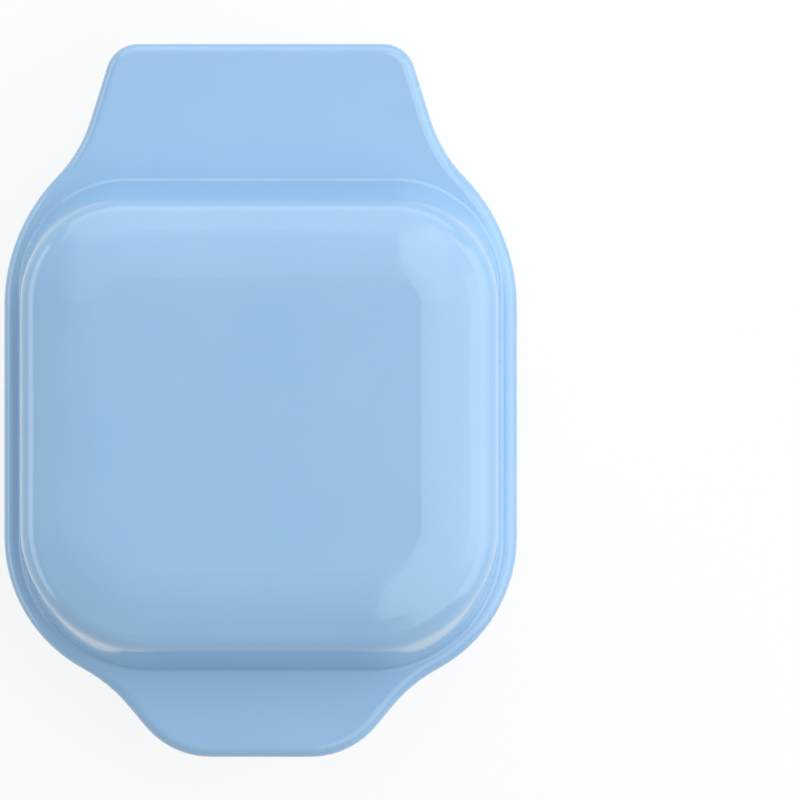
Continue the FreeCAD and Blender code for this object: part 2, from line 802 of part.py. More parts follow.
def make_tub_core():
    """The hollow inside the base: the frame's seat, the rim and the bowl, drawn as a solid."""
    body = new_body("tub_core")
    rear_edge = frame_rear_edge + S.frame_gap
    seat = plan_outline(body, "base_seat", base_rim, inset=S.shell_wall, rear_edge=rear_edge)
    pad(body, seat, frame_seat, down=True)
    rim = plan_outline(body, "base_hollow", base_rim, inset=S.shell_wall + S.ledge_width, rear_edge=rear_edge)
    pad(body, rim, rim_height - S.shell_wall, down=True)
    bowl = BodyRing(S.bowl_inset + S.shell_wall)
    hollow = bowl.sketch(body, "bowl_hollow", bowl_top)
    core = pad(body, hollow, rim_under - S.foot_height, down=True, taper=-S.bowl_draft)
    round_edges(body, core, level_edges(core, tub_floor), S.bowl_round - S.shell_wall)
    return body


def upright_edges(feature, chosen):
    """Names a feature's vertical edges whose foot a test accepts."""
    doc.recompute()
    names = []
    for number, edge in enumerate(feature.Shape.Edges, start=1):
        box = edge.BoundBox
        upright = max(box.XLength, box.YLength) < PLACE_TOLERANCE
        if upright and chosen(edge.valueAt(edge.FirstParameter)):
            names.append(f"Edge{number}")
    return names


def make_base_shell():
    body = new_body("base_shell")
    pad(body, plan_outline(body, "base_rim", rim_under), rim_height)
    lip = plan_outline(body, "base_lip", rim_under, tabbed_front=True, setback=S.lip_setback)
    pad(body, lip, S.tab_thickness)
    trim = Drawing(body, "rear_trim", level=base_rim)
    trim.rectangle(-half_width, half_width, housing_rear, rear_end + S.shell_wall)
    rim = pocket(body, trim.sketch, rim_height)
    corners = upright_edges(rim, lambda place: abs(place.y - housing_rear.value) < PLACE_TOLERANCE)
    rim = round_edges(body, rim, corners, S.housing_corner)
    round_edges(body, rim, level_edges(rim, rim_under), S.rim_round)
    bowl = BodyRing(S.bowl_inset).sketch(body, "bowl", bowl_top)
    tub = pad(body, bowl, bowl_top - S.foot_height, down=True, taper=-S.bowl_draft)
    round_edges(body, tub, level_edges(tub, S.foot_height), S.bowl_round)
    housing = Drawing(body, "housing", level=housing_floor)
    housing.rounded_rectangle(S.housing_width / 2, sized(0), housing_rear, S.housing_corner, S.housing_corner)
    pad(body, housing.sketch, base_rim - housing_floor)
    hollow = body.newObject("PartDesign::Boolean", "tub_hollow")
    hollow.Type = "Cut"
    hollow.setObjects([make_tub_core()])
    room = Drawing(body, "housing_room", level=base_rim - S.shell_wall)
    room_half = S.housing_width / 2 - S.shell_wall
    room.rectangle(-room_half, room_half, side_half, housing_rear - S.shell_wall)
    pocket(body, room.sketch, base_rim - S.shell_wall * 2 - housing_floor)
    add_base_hinge(body)
    add_base_openings(body)
    add_frame_bosses(body, base_rim - frame_seat, rim_height - frame_seat - S.shell_wall / 2, True)
    tongue_slots(body, lower_face - S.frame_thickness / 2 - S.tongue_thickness / 2 - S.fit_gap)
    return body


def add_base_hinge(body):
    """Adds the two hinge posts that rise from the housing into the lid's cap."""
    half = S.knuckle_diameter / 2
    root = housing_rear - S.shell_wall
    web = [
        (root, base_rim - S.shell_wall / 2),
        (root, base_rim - S.post_depth),
        (hinge_y, hinge_z - half),
        (hinge_y, hinge_z + half),
    ]
    add_knuckles(body, "post", post_inner, S.post_width, web)
    add_bores(body, "post_bore", post_inner, S.post_width, S.pin_diameter / 2 + S.running_clearance)


def add_base_openings(body):
    """Cuts the gland, sleeve, lamp, foot and vent openings."""
    rear = Drawing(body, "rear_holes", plane="XZ_Plane", level=-housing_rear)
    rear.circle(sized(0), gland_z, S.gland_neck / 2 + S.running_clearance)
    rear.circle(-sleeve_side, sleeve_z, S.sleeve_diameter / 2 + S.fit_gap)
    pocket(body, rear.sketch, S.shell_wall, up=True)
    lamp = Drawing(body, "lamp_hole", plane="XZ_Plane", level=front_flat)
    lamp.circle(sized(0), lamp_z, S.lamp_diameter / 2 + S.running_clearance)
    pocket(body, lamp.sketch, S.bowl_inset + S.shell_wall * 2)
    feet = Drawing(body, "foot_holes", level=tub_floor)
    for x, y in foot_places():
        feet.circle(x, y, S.foot_stem / 2 + S.running_clearance)
    pocket(body, feet.sketch, S.shell_wall)
    vents = Drawing(body, "vents", level=tub_floor)
    for row in range(VENT_ROWS):
        middle = S.vent_pitch * (row - (VENT_ROWS - 1) / 2)
        low, high = middle - S.vent_width / 2, middle + S.vent_width / 2
        vents.rectangle(-S.vent_length / 2, S.vent_length / 2, low, high)
    pocket(body, vents.sketch, S.shell_wall)


def foot_places():
    return [(S.foot_spacing_x / 2 * i, S.foot_spacing_y / 2 * j) for i in (1, -1) for j in (1, -1)]


def corner_places(half):
    return [(half * i, half * j) for i in (1, -1) for j in (1, -1)]


def make_frame(label, seats_bumpers):
    """The ring between shell and plate, with tongues at the front and two screws at the rear."""
    body = new_body(label)
    inset = S.shell_wall + S.frame_gap
    outline = plan_outline(body, f"{label}_ring", sized(0), inset=inset, rear_edge=frame_rear_edge)
    pad(body, outline, S.frame_thickness, down=True)
    opening = Drawing(body, f"{label}_opening", level=sized(0))
    margin = S.plate_lip + S.fit_gap
    opening.square(cavity_half + margin, S.cavity_corner + margin)
    pocket(body, opening.sketch, S.frame_thickness)
    tongues = Drawing(body, f"{label}_tongues", level=-(S.frame_thickness + S.tongue_thickness) / 2)
    edge = front_flat - inset
    for side in (1, -1):
        middle = S.tongue_spacing / 2 * side
        half = S.tongue_width / 2
        tongues.rectangle(middle - half, middle + half, -(edge + S.tongue_reach), -(edge - S.ledge_width))
    pad(body, tongues.sketch, S.tongue_thickness)
    through = Drawing(body, f"{label}_holes", level=sized(0))
    recess = Drawing(body, f"{label}_recesses", level=sized(0))
    for x, y in frame_screw_places():
        through.circle(x, y, S.screw_diameter / 2 + S.running_clearance)
        recess.circle(x, y, S.screw_head / 2 + S.fit_gap)
    pocket(body, through.sketch, S.frame_thickness)
    pocket(body, recess.sketch, S.screw_head_height + S.running_clearance)
    blind = Drawing(body, f"{label}_plate_holes", level=-S.frame_thickness)
    for x, y in plate_screw_places():
        blind.circle(x, y, S.screw_diameter / 2 + S.running_clearance)
    pocket(body, blind.sketch, S.plate_screw_length - S.flange_thickness + S.running_clearance, up=True)
    if seats_bumpers:
        seats = Drawing(body, f"{label}_bumper_seats", level=sized(0))
        for x, y in corner_places(bumper_half):
            seats.circle(x, y, S.bumper_stem / 2 + S.running_clearance)
        pocket(body, seats.sketch, S.bumper_seat + S.running_clearance)
    return body


def frame_screw_places():
    return [(frame_screw_x * side, frame_screw_y) for side in (1, -1)]


def plate_screw_places():
    return [(plate_screw_x * i, S.plate_screw_spacing / 2 * j) for i in (1, -1) for j in (1, -1)]


def strap_screw_places():
    return [(strap_screw_x * side, sized(0)) for side in (1, -1)]


def heater_path(body, name):
    """Draws the loop's centre line: in at the rear, round the plate and out at the rear again."""
    path = Drawing(body, name, level=heater_level)
    reach, lead = heater_half.value, S.heater_spacing.value / 2
    bend, end = S.heater_bend.value, heater_end_y.value
    corners = [(lead, reach, False), (reach, reach, True), (reach, -reach, True)]
    route = [(-x, y, turn) for x, y, turn in corners] + list(reversed(corners))
    at = (-lead, end)
    heading = (0, -1)
    chain = []
    for x, y, turns_left in route:
        start = (x - heading[0] * bend, y - heading[1] * bend)
        chain.append(path.line(at, start))
        side = 1 if turns_left else -1
        after = (-heading[1] * side, heading[0] * side)
        centre = (start[0] + after[0] * bend, start[1] + after[1] * bend)
        at = (x + after[0] * bend, y + after[1] * bend)
        chain.append(path.arc(centre, start, at, turns_left))
        heading = after
    chain.append(path.line(at, (lead, end)))
    path.join_smoothly(chain)
    lines, arcs = chain[0::2], chain[1::2]
    for index, _, _ in arcs:
        path.hold("Radius", S.heater_bend, index)
    for line, kind in zip(lines, "VHVHVHV"):
        path.constrain("Vertical" if kind == "V" else "Horizontal", line[0])
    lead_x = S.heater_spacing / 2
    for number, place in ((0, -lead_x), (2, -heater_half), (4, heater_half), (6, lead_x)):
        path.hold_axis("DistanceX", place, lines[number][0], 1)
    for number, place in ((1, heater_half), (3, -heater_half), (5, heater_half)):
        path.hold_axis("DistanceY", place, lines[number][0], 1)
    path.hold_axis("DistanceY", heater_end_y, lines[0][0], 1)
    path.hold_axis("DistanceY", heater_end_y, lines[6][0], 2)
    return path.sketch


def sweep(body, kind, name, profile, path):
    feature = body.newObject(f"PartDesign::{kind}", name)
    feature.Profile = profile
    feature.Spine = (path, [])
    return feature


def heater_section(body, name, radius):
    section = Drawing(body, name, plane="XZ_Plane", level=-heater_end_y)
    section.circle(-S.heater_spacing / 2, heater_level, radius)
    return section.sketch


def make_plate(label):
    """A cast cooking plate: cavity with pegs in front, heater rail and screw bosses behind."""
    body = new_body(label)
    block = Drawing(body, f"{label}_block", level=sized(0))
    block.square(cavity_half + S.plate_lip, S.cavity_corner + S.plate_lip)
    pad(body, block.sketch, plate_depth, down=True, taper=-S.cavity_draft)
    flange = Drawing(body, f"{label}_flange", level=-S.frame_thickness)
    flange_y = cavity_half + S.plate_lip + S.flange_end
    flange_radius = S.cavity_corner + S.plate_lip + S.flange_end
    flange.rounded_rectangle(flange_x, flange_y, flange_y, flange_radius, flange_radius)
    pad(body, flange.sketch, S.flange_thickness, down=True)
    cavity = Drawing(body, f"{label}_cavity", level=sized(0))
    cavity.square(cavity_half, S.cavity_corner)
    pocket(body, cavity.sketch, S.cavity_depth, taper=-S.cavity_draft)
    add_pegs(body, label)
    rail = Drawing(body, f"{label}_rail", plane="XZ_Plane", level=-heater_end_y)
    left = -S.heater_spacing / 2
    half = S.rail_width / 2
    low, high = -(plate_depth + S.rail_height), -(plate_depth - S.plate_floor / 2)
    rail.rectangle(left - half, left + half, low, high)
    rail_path = heater_path(body, f"{label}_rail_path")
    sweep(body, "AdditivePipe", f"{label}_rail_sweep", rail.sketch, rail_path)
    channel = heater_section(body, f"{label}_channel", S.heater_diameter / 2 + S.running_clearance)
    sweep(body, "SubtractivePipe", f"{label}_channel_sweep", channel, heater_path(body, f"{label}_path"))
    bosses = Drawing(body, f"{label}_bosses", level=-plate_depth)
    holes = Drawing(body, f"{label}_boss_holes", level=-(plate_depth + S.pan_depth))
    for x, y in corner_places(boss_half):
        bosses.circle(x, y, S.screw_diameter / 2 + S.boss_wall)
        holes.circle(x, y, S.screw_diameter / 2 + S.running_clearance)
    pad(body, bosses.sketch, S.pan_depth, down=True)
    pocket(body, holes.sketch, S.pan_depth - S.boss_wall, up=True)
    clear = Drawing(body, f"{label}_flange_holes", level=-S.frame_thickness)
    for x, y in plate_screw_places():
        clear.circle(x, y, S.screw_diameter / 2 + S.running_clearance)
    pocket(body, clear.sketch, S.flange_thickness)
    strap_holes = Drawing(body, f"{label}_strap_holes", level=-plate_depth)
    for x, y in strap_screw_places():
        strap_holes.circle(x, y, S.screw_diameter / 2 + S.running_clearance)
    pocket(body, strap_holes.sketch, S.strap_screw_length - S.sheet + S.running_clearance, up=True)
    return body


def add_pegs(body, label):
    """Raises a block in the cavity and cuts it into tapered pegs with crossing grooves."""
    half = S.peg_pitch * (CELLS_ACROSS / 2)
    block = Drawing(body, f"{label}_pegs", level=-S.cavity_depth)
    block.square(half, S.cavity_corner - S.edge_groove)
    pad(body, block.sketch, S.peg_height, taper=-S.peg_draft)
    root = (S.peg_pitch - S.peg_width) / 2
    mouth = root + S.peg_height * tangent(S.peg_draft)
    low, high = -S.cavity_depth, -(S.cavity_depth - S.peg_height)
    for plane, level, forward in (("XZ_Plane", half, False), ("YZ_Plane", -half, True)):
        grooves = Drawing(body, f"{label}_grooves_{plane[:2]}", plane=plane, level=level)
        for number in range(CELLS_ACROSS):
            middle = S.peg_pitch * (number - (CELLS_ACROSS - 1) / 2)
            grooves.polygon([
                (middle - root, low), (middle + root, low), (middle + mouth, high), (middle - mouth, high),
            ])
        pocket(body, grooves.sketch, half * 2, up=forward)


def make_heater(label):
    body = new_body(label)
    section = heater_section(body, f"{label}_section", S.heater_diameter / 2)
    sweep(body, "AdditivePipe", f"{label}_tube", section, heater_path(body, f"{label}_path"))
    return body


def rods_along_y(label, start, length, radius, bore=None):
    """Two round pieces side by side at the heater's ends, solid or bored."""
    body = new_body(label)
    rods = Drawing(body, f"{label}_section", plane="XZ_Plane", level=-start)
    for side in (1, -1):
        rods.circle(S.heater_spacing / 2 * side, heater_level, radius)
        if bore is not None:
            rods.circle(S.heater_spacing / 2 * side, heater_level, bore)
    pad(body, rods.sketch, length, down=True)
    return body


def make_pan(label):
    """The sheet pan behind the heater, screwed to the plate's bosses."""
    body = new_body(label)
    flange = Drawing(body, f"{label}_flange", level=-plate_depth)
    flange.square(pan_half + S.pan_flange, S.pan_corner + S.pan_flange)
    pad(body, flange.sketch, S.sheet, down=True)
    wall = Drawing(body, f"{label}_wall", level=-plate_depth)
    wall.square(pan_half + S.sheet, S.pan_corner + S.sheet)
    pad(body, wall.sketch, S.pan_depth + S.sheet, down=True)
    room = Drawing(body, f"{label}_room", level=-plate_depth)
    room.square(pan_half, S.pan_corner)
    pocket(body, room.sketch, S.pan_depth)
    holes = Drawing(body, f"{label}_holes", level=-(plate_depth + S.pan_depth))
    for x, y in corner_places(boss_half):
        holes.circle(x, y, S.screw_diameter / 2 + S.fit_gap)
    holes.circle(sized(0), sized(0), S.pan_window / 2)
    pocket(body, holes.sketch, S.sheet)
    exits = Drawing(body, f"{label}_exits", plane="XZ_Plane", level=-(pan_half + S.sheet))
    for side in (1, -1):
        exits.circle(S.heater_spacing / 2 * side, heater_level, S.bead_diameter / 2 + S.running_clearance)
    pocket(body, exits.sketch, S.sheet, up=True)
    return body


def make_screws(label, places, head_face, length, points_up=False):
    """A set of pan-head screws with cross recesses; head_face is the outer face of the heads."""
    body = new_body(label)
    heads = Drawing(body, f"{label}_heads", level=head_face)
    sign = 1 if points_up else -1
    shanks = Drawing(body, f"{label}_shanks", level=head_face + S.screw_head_height * sign)
    for x, y in places:
        heads.circle(x, y, S.screw_head / 2)
        shanks.circle(x, y, S.screw_diameter / 2)
    pad(body, heads.sketch, S.screw_head_height, down=not points_up)
    pad(body, shanks.sketch, length, down=not points_up)
    long, short = S.recess_length / 2, S.recess_width / 2
    for name, across, along in (("cross", long, short), ("slot", short, long)):
        recess = Drawing(body, f"{label}_{name}", level=head_face)
        for x, y in places:
            recess.rectangle(x - across, x + across, y - along, y + along)
        pocket(body, recess.sketch, S.screw_head_height / 2, up=points_up)
    return body


def make_hinge_pin(label, side):
    """A headed pin through a post and an ear, with a groove for its retaining ring."""
    body = new_body(label)
    shank = pin_end - post_inner
    steps = [
        ("head", post_inner - S.pin_head_length, S.pin_head_length, S.pin_head / 2),
        ("shank", post_inner, shank, S.pin_diameter / 2),
    ]
    for name, start, length, radius in steps:
        drawing = Drawing(body, f"{label}_{name}", plane="YZ_Plane", level=start * side)
        drawing.circle(hinge_y, hinge_z, radius)
        pad(body, drawing.sketch, length, down=side < 0)
    groove = Drawing(body, f"{label}_groove", plane="YZ_Plane", level=clip_start * side)
    groove.circle(hinge_y, hinge_z, S.pin_diameter / 2)
    groove.circle(hinge_y, hinge_z, S.pin_diameter / 2 - S.clip_bite)
    pocket(body, groove.sketch, S.clip_thickness + S.running_clearance * 2, up=side > 0)
    return body


def make_hinge_rings(label, start, width, outer, inner):
    """A pair of plain rings on the hinge line."""
    body = new_body(label)
    for side, level in zip(("right", "left"), side_bands(start, width)):
        ring = Drawing(body, f"{label}_{side}", plane="YZ_Plane", level=level)
        ring.circle(hinge_y, hinge_z, outer)
        ring.circle(hinge_y, hinge_z, inner)
        pad(body, ring.sketch, width)
    return body


def make_feet():
    body = new_body("rubber_feet")
    steps = [
        ("pads", sized(0), S.foot_height, S.foot_diameter / 2),
        ("stems", S.foot_height, S.shell_wall, S.foot_stem / 2),
        ("heads", tub_floor, S.foot_head_height, S.foot_stem / 2 + S.foot_head_height / 2),
    ]
    for name, level, height, radius in steps:
        drawing = Drawing(body, f"foot_{name}", level=level)
        for x, y in foot_places():
            drawing.circle(x, y, radius)
        pad(body, drawing.sketch, height)
    return body


def make_bumpers():
    """Soft buttons in the lower frame, as high as the gap between the two frames."""
    body = new_body("lid_bumpers")
    stems = Drawing(body, "bumper_stems", level=-S.bumper_seat)
    buttons = Drawing(body, "bumper_buttons", level=sized(0))
    for x, y in corner_places(bumper_half):
        stems.circle(x, y, S.bumper_stem / 2)
        buttons.circle(x, y, S.bumper_diameter / 2)
    pad(body, stems.sketch, S.bumper_seat)
    pad(body, buttons.sketch, upper_face - lower_face)
    return body


def make_strap(label, drop):
    """A sheet strap that presses a round piece against the back of a plate."""
    body = new_body(label)
    inner = S.strap_span / 2
    outer = inner + S.sheet
    foot = outer + S.strap_foot
    back, low = -plate_depth, -(plate_depth + drop)
    right = [
        (inner, low), (inner, back), (foot, back), (foot, back - S.sheet), (outer, back - S.sheet),
        (outer, low - S.sheet),
    ]
    left = [(-x, z) for x, z in reversed(right)]
    strap = Drawing(body, f"{label}_profile", plane="XZ_Plane", level=-S.strap_width / 2)
    strap.polygon(right + left)
    pad(body, strap.sketch, S.strap_width)
    holes = Drawing(body, f"{label}_holes", level=back)
    for x, y in strap_screw_places():
        holes.circle(x, y, S.screw_diameter / 2 + S.running_clearance)
    pocket(body, holes.sketch, S.sheet)
    return body


def make_thermostat():
    body = new_body("thermostat")
    cup = Drawing(body, "thermostat_cup", level=-plate_depth)
    cup.circle(sized(0), sized(0), S.thermostat_diameter / 2)
    pad(body, cup.sketch, S.thermostat_height, down=True)
    cap = Drawing(body, "thermostat_cap_disc", level=-(plate_depth + S.thermostat_height))
    cap.circle(sized(0), sized(0), S.thermostat_cap / 2)
    pad(body, cap.sketch, S.thermostat_cap_height, down=True)
    blades = Drawing(body, "thermostat_blades", level=-(plate_depth + thermostat_drop))
    for side in (1, -1):
        middle = S.blade_spacing / 2 * side
        half = S.sheet / 2
        blades.rectangle(-S.blade_width / 2, S.blade_width / 2, middle - half, middle + half)
    pad(body, blades.sketch, S.blade_reach, down=True)
    return body


def make_fuse():
    """The thermal fuse lies along Y against the upper plate, with a short wire at each end."""
    body = new_body("thermal_fuse")
    level = -(plate_depth + S.fuse_diameter / 2)
    barrel = Drawing(body, "fuse_barrel", plane="XZ_Plane", level=-S.fuse_length / 2)
    barrel.circle(sized(0), level, S.fuse_diameter / 2)
    pad(body, barrel.sketch, S.fuse_length)
    wire = Drawing(body, "fuse_wires", plane="XZ_Plane", level=-fuse_wire_end)
    wire.circle(sized(0), level, S.fuse_wire / 2)
    pad(body, wire.sketch, fuse_wire_end * 2)
    return body


def turned_steps(body, name, x, z, steps):
    """Stacks round steps along +Y, each given by its start, length and radius."""
    for number, (start, length, radius) in enumerate(steps):
        drawing = Drawing(body, f"{name}_step_{number}", plane="XZ_Plane", level=-start)
        drawing.circle(x, z, radius)
        pad(body, drawing.sketch, length, down=True)


def make_lamp_lens():
    body = new_body("lamp_lens")
    lean = S.lens_flange / 2 * tangent(S.bowl_draft)
    seat = -(lamp_wall - S.shell_wall - lean - S.running_clearance)
    face = -(lamp_wall + S.lens_proud)
    steps = [
        (face, seat - face, S.lamp_diameter / 2),
        (seat, S.lens_flange_thickness, S.lens_flange / 2),
    ]
    turned_steps(body, "lens", sized(0), lamp_z, steps)
    return body


def make_lamp_bulb():
    body = new_body("lamp_bulb")
    steps = [(-(holder_rear + S.bulb_length), S.bulb_length, S.bulb_diameter / 2)]
    turned_steps(body, "bulb", sized(0), lamp_z, steps)
    return body


def make_lamp_holder():
    body = new_body("lamp_holder")
    block = Drawing(body, "holder_block", level=tub_floor)
    half = S.holder_width / 2
    block.rectangle(-half, half, -(holder_rear + S.holder_depth), -holder_rear)
    pad(body, block.sketch, lamp_z - tub_floor + S.bulb_diameter)
    bore = Drawing(body, "holder_bore", plane="XZ_Plane", level=holder_rear)
    bore.circle(sized(0), lamp_z, S.bulb_diameter / 2 + S.running_clearance)
    pocket(body, bore.sketch, S.holder_depth, up=True)
    return body


def make_gland():
    body = new_body("cord_gland")
    inside = housing_rear - S.shell_wall
    steps = [
        (inside - S.gland_flange_thickness, S.gland_flange_thickness, S.gland_flange / 2),
        (inside, S.shell_wall, S.gland_neck / 2),
        (housing_rear, S.gland_flange_thickness, S.gland_flange / 2),
        (housing_rear + S.gland_flange_thickness, S.gland_collar, S.gland_neck / 2),
    ]
    turned_steps(body, "gland", sized(0), gland_z, steps)
    bore = Drawing(body, "gland_bore_hole", plane="XZ_Plane", level=-gland_end)
    bore.circle(sized(0), gland_z, S.gland_bore / 2)
    pocket(body, bore.sketch, gland_end - inside + S.gland_flange_thickness, up=True)
    return body


def make_junction():
    body = new_body("terminal_block")
    block = Drawing(body, "junction_block", level=junction_floor)
    half = S.junction_width / 2
    block.rectangle(-half, half, junction_front, junction_rear)
    pad(body, block.sketch, S.junction_height)
    wells = Drawing(body, "junction_wells", level=junction_top)
    for x in pole_places():
        wells.circle(x, junction_front + S.junction_depth / 2, S.junction_screw / 2 + S.running_clearance)
    pocket(body, wells.sketch, S.junction_height / 2)
    return body


def make_junction_screws():
    body = new_body("terminal_screws")
    screws = Drawing(body, "junction_screws", level=junction_middle)
    for x in pole_places():
        screws.circle(x, junction_front + S.junction_depth / 2, S.junction_screw / 2)
    pad(body, screws.sketch, S.junction_height / 3)
    return body


def pole_places():
    return [S.junction_pitch * pole for pole in (-1, 0, 1)]


def tube(route, diameter, bend):
    """A round lead through the given points, with a tangent arc at every corner."""
    points = [Vector(*(sized(number).value for number in place)) for place in route]
    edges = []
    start = points[0]
    for before, corner, after in zip(points, points[1:], points[2:]):
        back = (before - corner).normalize()
        ahead = (after - corner).normalize()
        half_turn = (math.pi - back.getAngle(ahead)) / 2
        shorter_leg = min((before - corner).Length, (after - corner).Length)
        trim = min(bend.value * math.tan(half_turn), shorter_leg * BEND_SHARE)
        radius = trim / math.tan(half_turn)
        middle = corner + (back + ahead).normalize() * (radius / math.cos(half_turn) - radius)
        entry, leave = corner + back * trim, corner + ahead * trim
        edges.append(Part.LineSegment(start, entry).toShape())
        edges.append(Part.Arc(entry, middle, leave).toShape())
        start = leave
    edges.append(Part.LineSegment(start, points[-1]).toShape())
    path = Part.Wire(edges)
    section = Part.Wire(Part.makeCircle(diameter.value / 2, points[0], points[1] - points[0]))
    solid = path.makePipeShell([section], True, False)
    expected = math.pi * diameter.value ** 2 / 4 * path.Length
    if abs(solid.Volume - expected) > expected * VOLUME_TOLERANCE:
        raise RuntimeError(f"a lead has the wrong volume: {solid.Volume:.1f} for {expected:.1f}")
    return solid


def make_leads(label, routes, diameter, bend):
    """A set of bent leads, which run through space and so are set as one plain shape."""
    piece = doc.addObject("Part::Feature", label)
    piece.Label = label
    piece.Shape = Part.makeCompound([tube(route, diameter, bend) for route in routes])
    return piece


def make_base_leads():
    """Leads in the base: junction to heater, heater to thermostat and back, and the lamp's flex."""
    x, y, z = pin_lead_x, pin_lead_y, lower_face + heater_level
    left, middle, right = pole_places()
    start = junction_front - S.running_clearance
    turn = (y + start) / 2
    blade = (S.blade_spacing + S.sheet) / 2 + S.running_clearance
    blade_turn = S.blade_spacing + S.lead_turn
    bend_y = boss_half / 2
    high, mid, low = upper_lane, junction_middle, floor_lane
    heater_lead = [(right, start, mid), (right, turn, mid), (x, turn, z), (x, y, z)]
    feed = [
        (-x, y, z), (-x, turn, z), (-x, turn, high), (-x, bend_y, high), (0, blade_turn, high),
        (0, blade, high),
    ]
    back = [
        (0, -blade, high), (0, -blade_turn, high), (x, -bend_y, high), (x, boss_half, high),
        (middle, y, high), (middle, turn, mid), (middle, start, mid),
    ]
    flex = [
        (left, start, mid), (left, y, mid), (left, y - S.lead_turn, low), (left, -bend_y, low),
        (0, -boss_half, low), (0, S.running_clearance - holder_rear, low),
    ]
    routes = (heater_lead, feed, back, flex)
    return make_leads("base_leads", routes, S.lead_diameter, S.lead_bend)


def make_base_sleeve():
    """The sleeve from the junction through the housing's rear wall and on to the hinge line."""
    x, y = -sleeve_side, junction_front + S.junction_depth / 2
    route = [
        (x, y, junction_top), (x, y, sleeve_z), (x, hinge_y, sleeve_z), (x, hinge_y, hinge_z),
        (-S.fit_gap / 2, hinge_y, hinge_z),
    ]
    return make_leads("hinge_sleeve_base", [route], S.sleeve_diameter, S.sleeve_bend)


def dome_lane(level):
    """Gives the Y of a lead that climbs along the inside of the dome's rear wall to a level."""
    lean = (level + S.lead_diameter / 2 - rim_top + S.shell_wall) * S.dome_end_lean / dome_wall
    return dome_rear - S.shell_wall - lean - S.fit_gap * 2 - S.lead_diameter / 2


def make_lid_sleeve():
    """The sleeve's other half: from the hinge line over the frame to the rear of the plate."""
    x = sleeve_side
    route = [
        (S.fit_gap / 2, hinge_y, hinge_z), (x, hinge_y, hinge_z), (x, hinge_y - S.sleeve_rise, sleeve_roof),
        (x, sleeve_mouth, sleeve_roof),
    ]
    return make_leads("hinge_sleeve_lid", [route], S.sleeve_diameter, S.sleeve_bend)


def make_lid_leads():
    """Leads in the lid: sleeve to heater, sleeve to fuse and fuse back to the heater."""
    x, y, z = pin_lead_x, pin_lead_y, upper_face - heater_level
    first, second = sleeve_side - S.sleeve_diameter / 4, sleeve_side + S.sleeve_diameter / 4
    turn = z + S.lead_turn
    crest = upper_face + plate_depth + S.lead_diameter
    wall, rise = dome_lane(turn), dome_lane(crest)
    start = sleeve_mouth - S.running_clearance
    over = upper_face - pan_screw_face
    fuse_z = upper_face + plate_depth + S.fuse_diameter / 2
    fuse_y = fuse_wire_end + S.running_clearance
    drop_y = fuse_y + S.lead_bend + S.running_clearance
    bend_y = boss_half / 2
    climbs = [
        [
            (side, start, sleeve_roof), (side, start - S.lead_bend, sleeve_roof),
            (side, rise, sleeve_roof + S.lead_turn), (side, rise, crest),
        ]
        for side in (first, second)
    ]
    heater_lead = climbs[0] + [(x, wall, z), (x, y, z)]
    feed = climbs[1] + [
        (second, wall, turn), (second, pan_half, over), (0, bend_y, over), (0, drop_y, over),
        (0, drop_y, fuse_z), (0, fuse_y, fuse_z),
    ]
    back = [
        (0, -fuse_y, fuse_z), (0, -drop_y, fuse_z), (0, -drop_y, over), (-x, bend_y, over),
        (-x, pan_half, over), (-x, wall, turn), (-x, wall, z), (-x, y, z),
    ]
    return make_leads("lid_leads", (heater_lead, feed, back), S.lead_diameter, S.lead_bend)


def seat_on(piece, face, upper=False):
    """Sets a plate-side piece at its cooking face; the upper one is turned over about Y."""
    if upper:
        piece.Placement = FreeCAD.Placement(Vector(), FreeCAD.Rotation(Vector(0, 1, 0), 180))
    piece.setExpression("Placement.Base.z", face.text)
    return piece


def make_cooking_set(name, frame_name, face, upper):
    """Frame, plate, heater, pan and their fasteners, laid out from the cooking face at zero."""
    bead_start = heater_end_y + S.fit_gap
    fasteners = [
        ("plate_screws", plate_screw_places(), plate_screw_face, S.plate_screw_length),
        ("pan_screws", corner_places(boss_half), pan_screw_face, S.pan_screw_length),
        ("strap_screws", strap_screw_places(), strap_screw_face, S.strap_screw_length),
    ]
    pieces = [make_screws(f"{name}_{kind}", *details, points_up=True) for kind, *details in fasteners]
    pieces += [
        make_frame(frame_name, not upper),
        make_screws(f"{frame_name}_screws", frame_screw_places(), -S.running_clearance, S.screw_length),
        make_plate(f"{name}_plate"),
        make_heater(f"{name}_heater"),
        rods_along_y(f"{name}_heater_pins", heater_end_y, S.cold_pin_reach, S.cold_pin_diameter / 2),
        rods_along_y(
            f"{name}_heater_beads", bead_start, S.bead_length, S.bead_diameter / 2,
            S.cold_pin_diameter / 2 + S.running_clearance,
        ),
        make_pan(f"{name}_reflector"),
    ]
    if upper:
        pieces += [make_fuse(), make_strap("fuse_strap", S.fuse_diameter)]
    else:
        pieces += [make_thermostat(), make_strap("thermostat_strap", thermostat_drop), make_bumpers()]
    return [seat_on(piece, face, upper) for piece in pieces]


def build():
    pin_radius = S.pin_diameter / 2
    bush_bore = pin_radius + S.running_clearance
    parts = [make_base_shell(), make_lid_shell(), make_feet()]
    parts += make_cooking_set("lower", "base_frame", lower_face, False)
    parts += make_cooking_set("upper", "lid_frame", upper_face, True)
    parts += [
        make_hinge_pin("hinge_pin_right", 1),
        make_hinge_pin("hinge_pin_left", -1),
        make_hinge_rings("hinge_bushes", ear_start, S.ear_width, bush_bore + S.bush_wall, bush_bore),
        make_hinge_rings(
            "hinge_clips", clip_start + S.running_clearance, S.clip_thickness, S.clip_diameter / 2,
            pin_radius - S.clip_bite + S.running_clearance,
        ),
        make_gland(),
        make_junction(),
        make_junction_screws(),
        make_lamp_lens(),
        make_lamp_bulb(),
        make_lamp_holder(),
        make_base_leads(),
        make_base_sleeve(),
        make_lid_sleeve(),
        make_lid_leads(),
    ]
    return parts


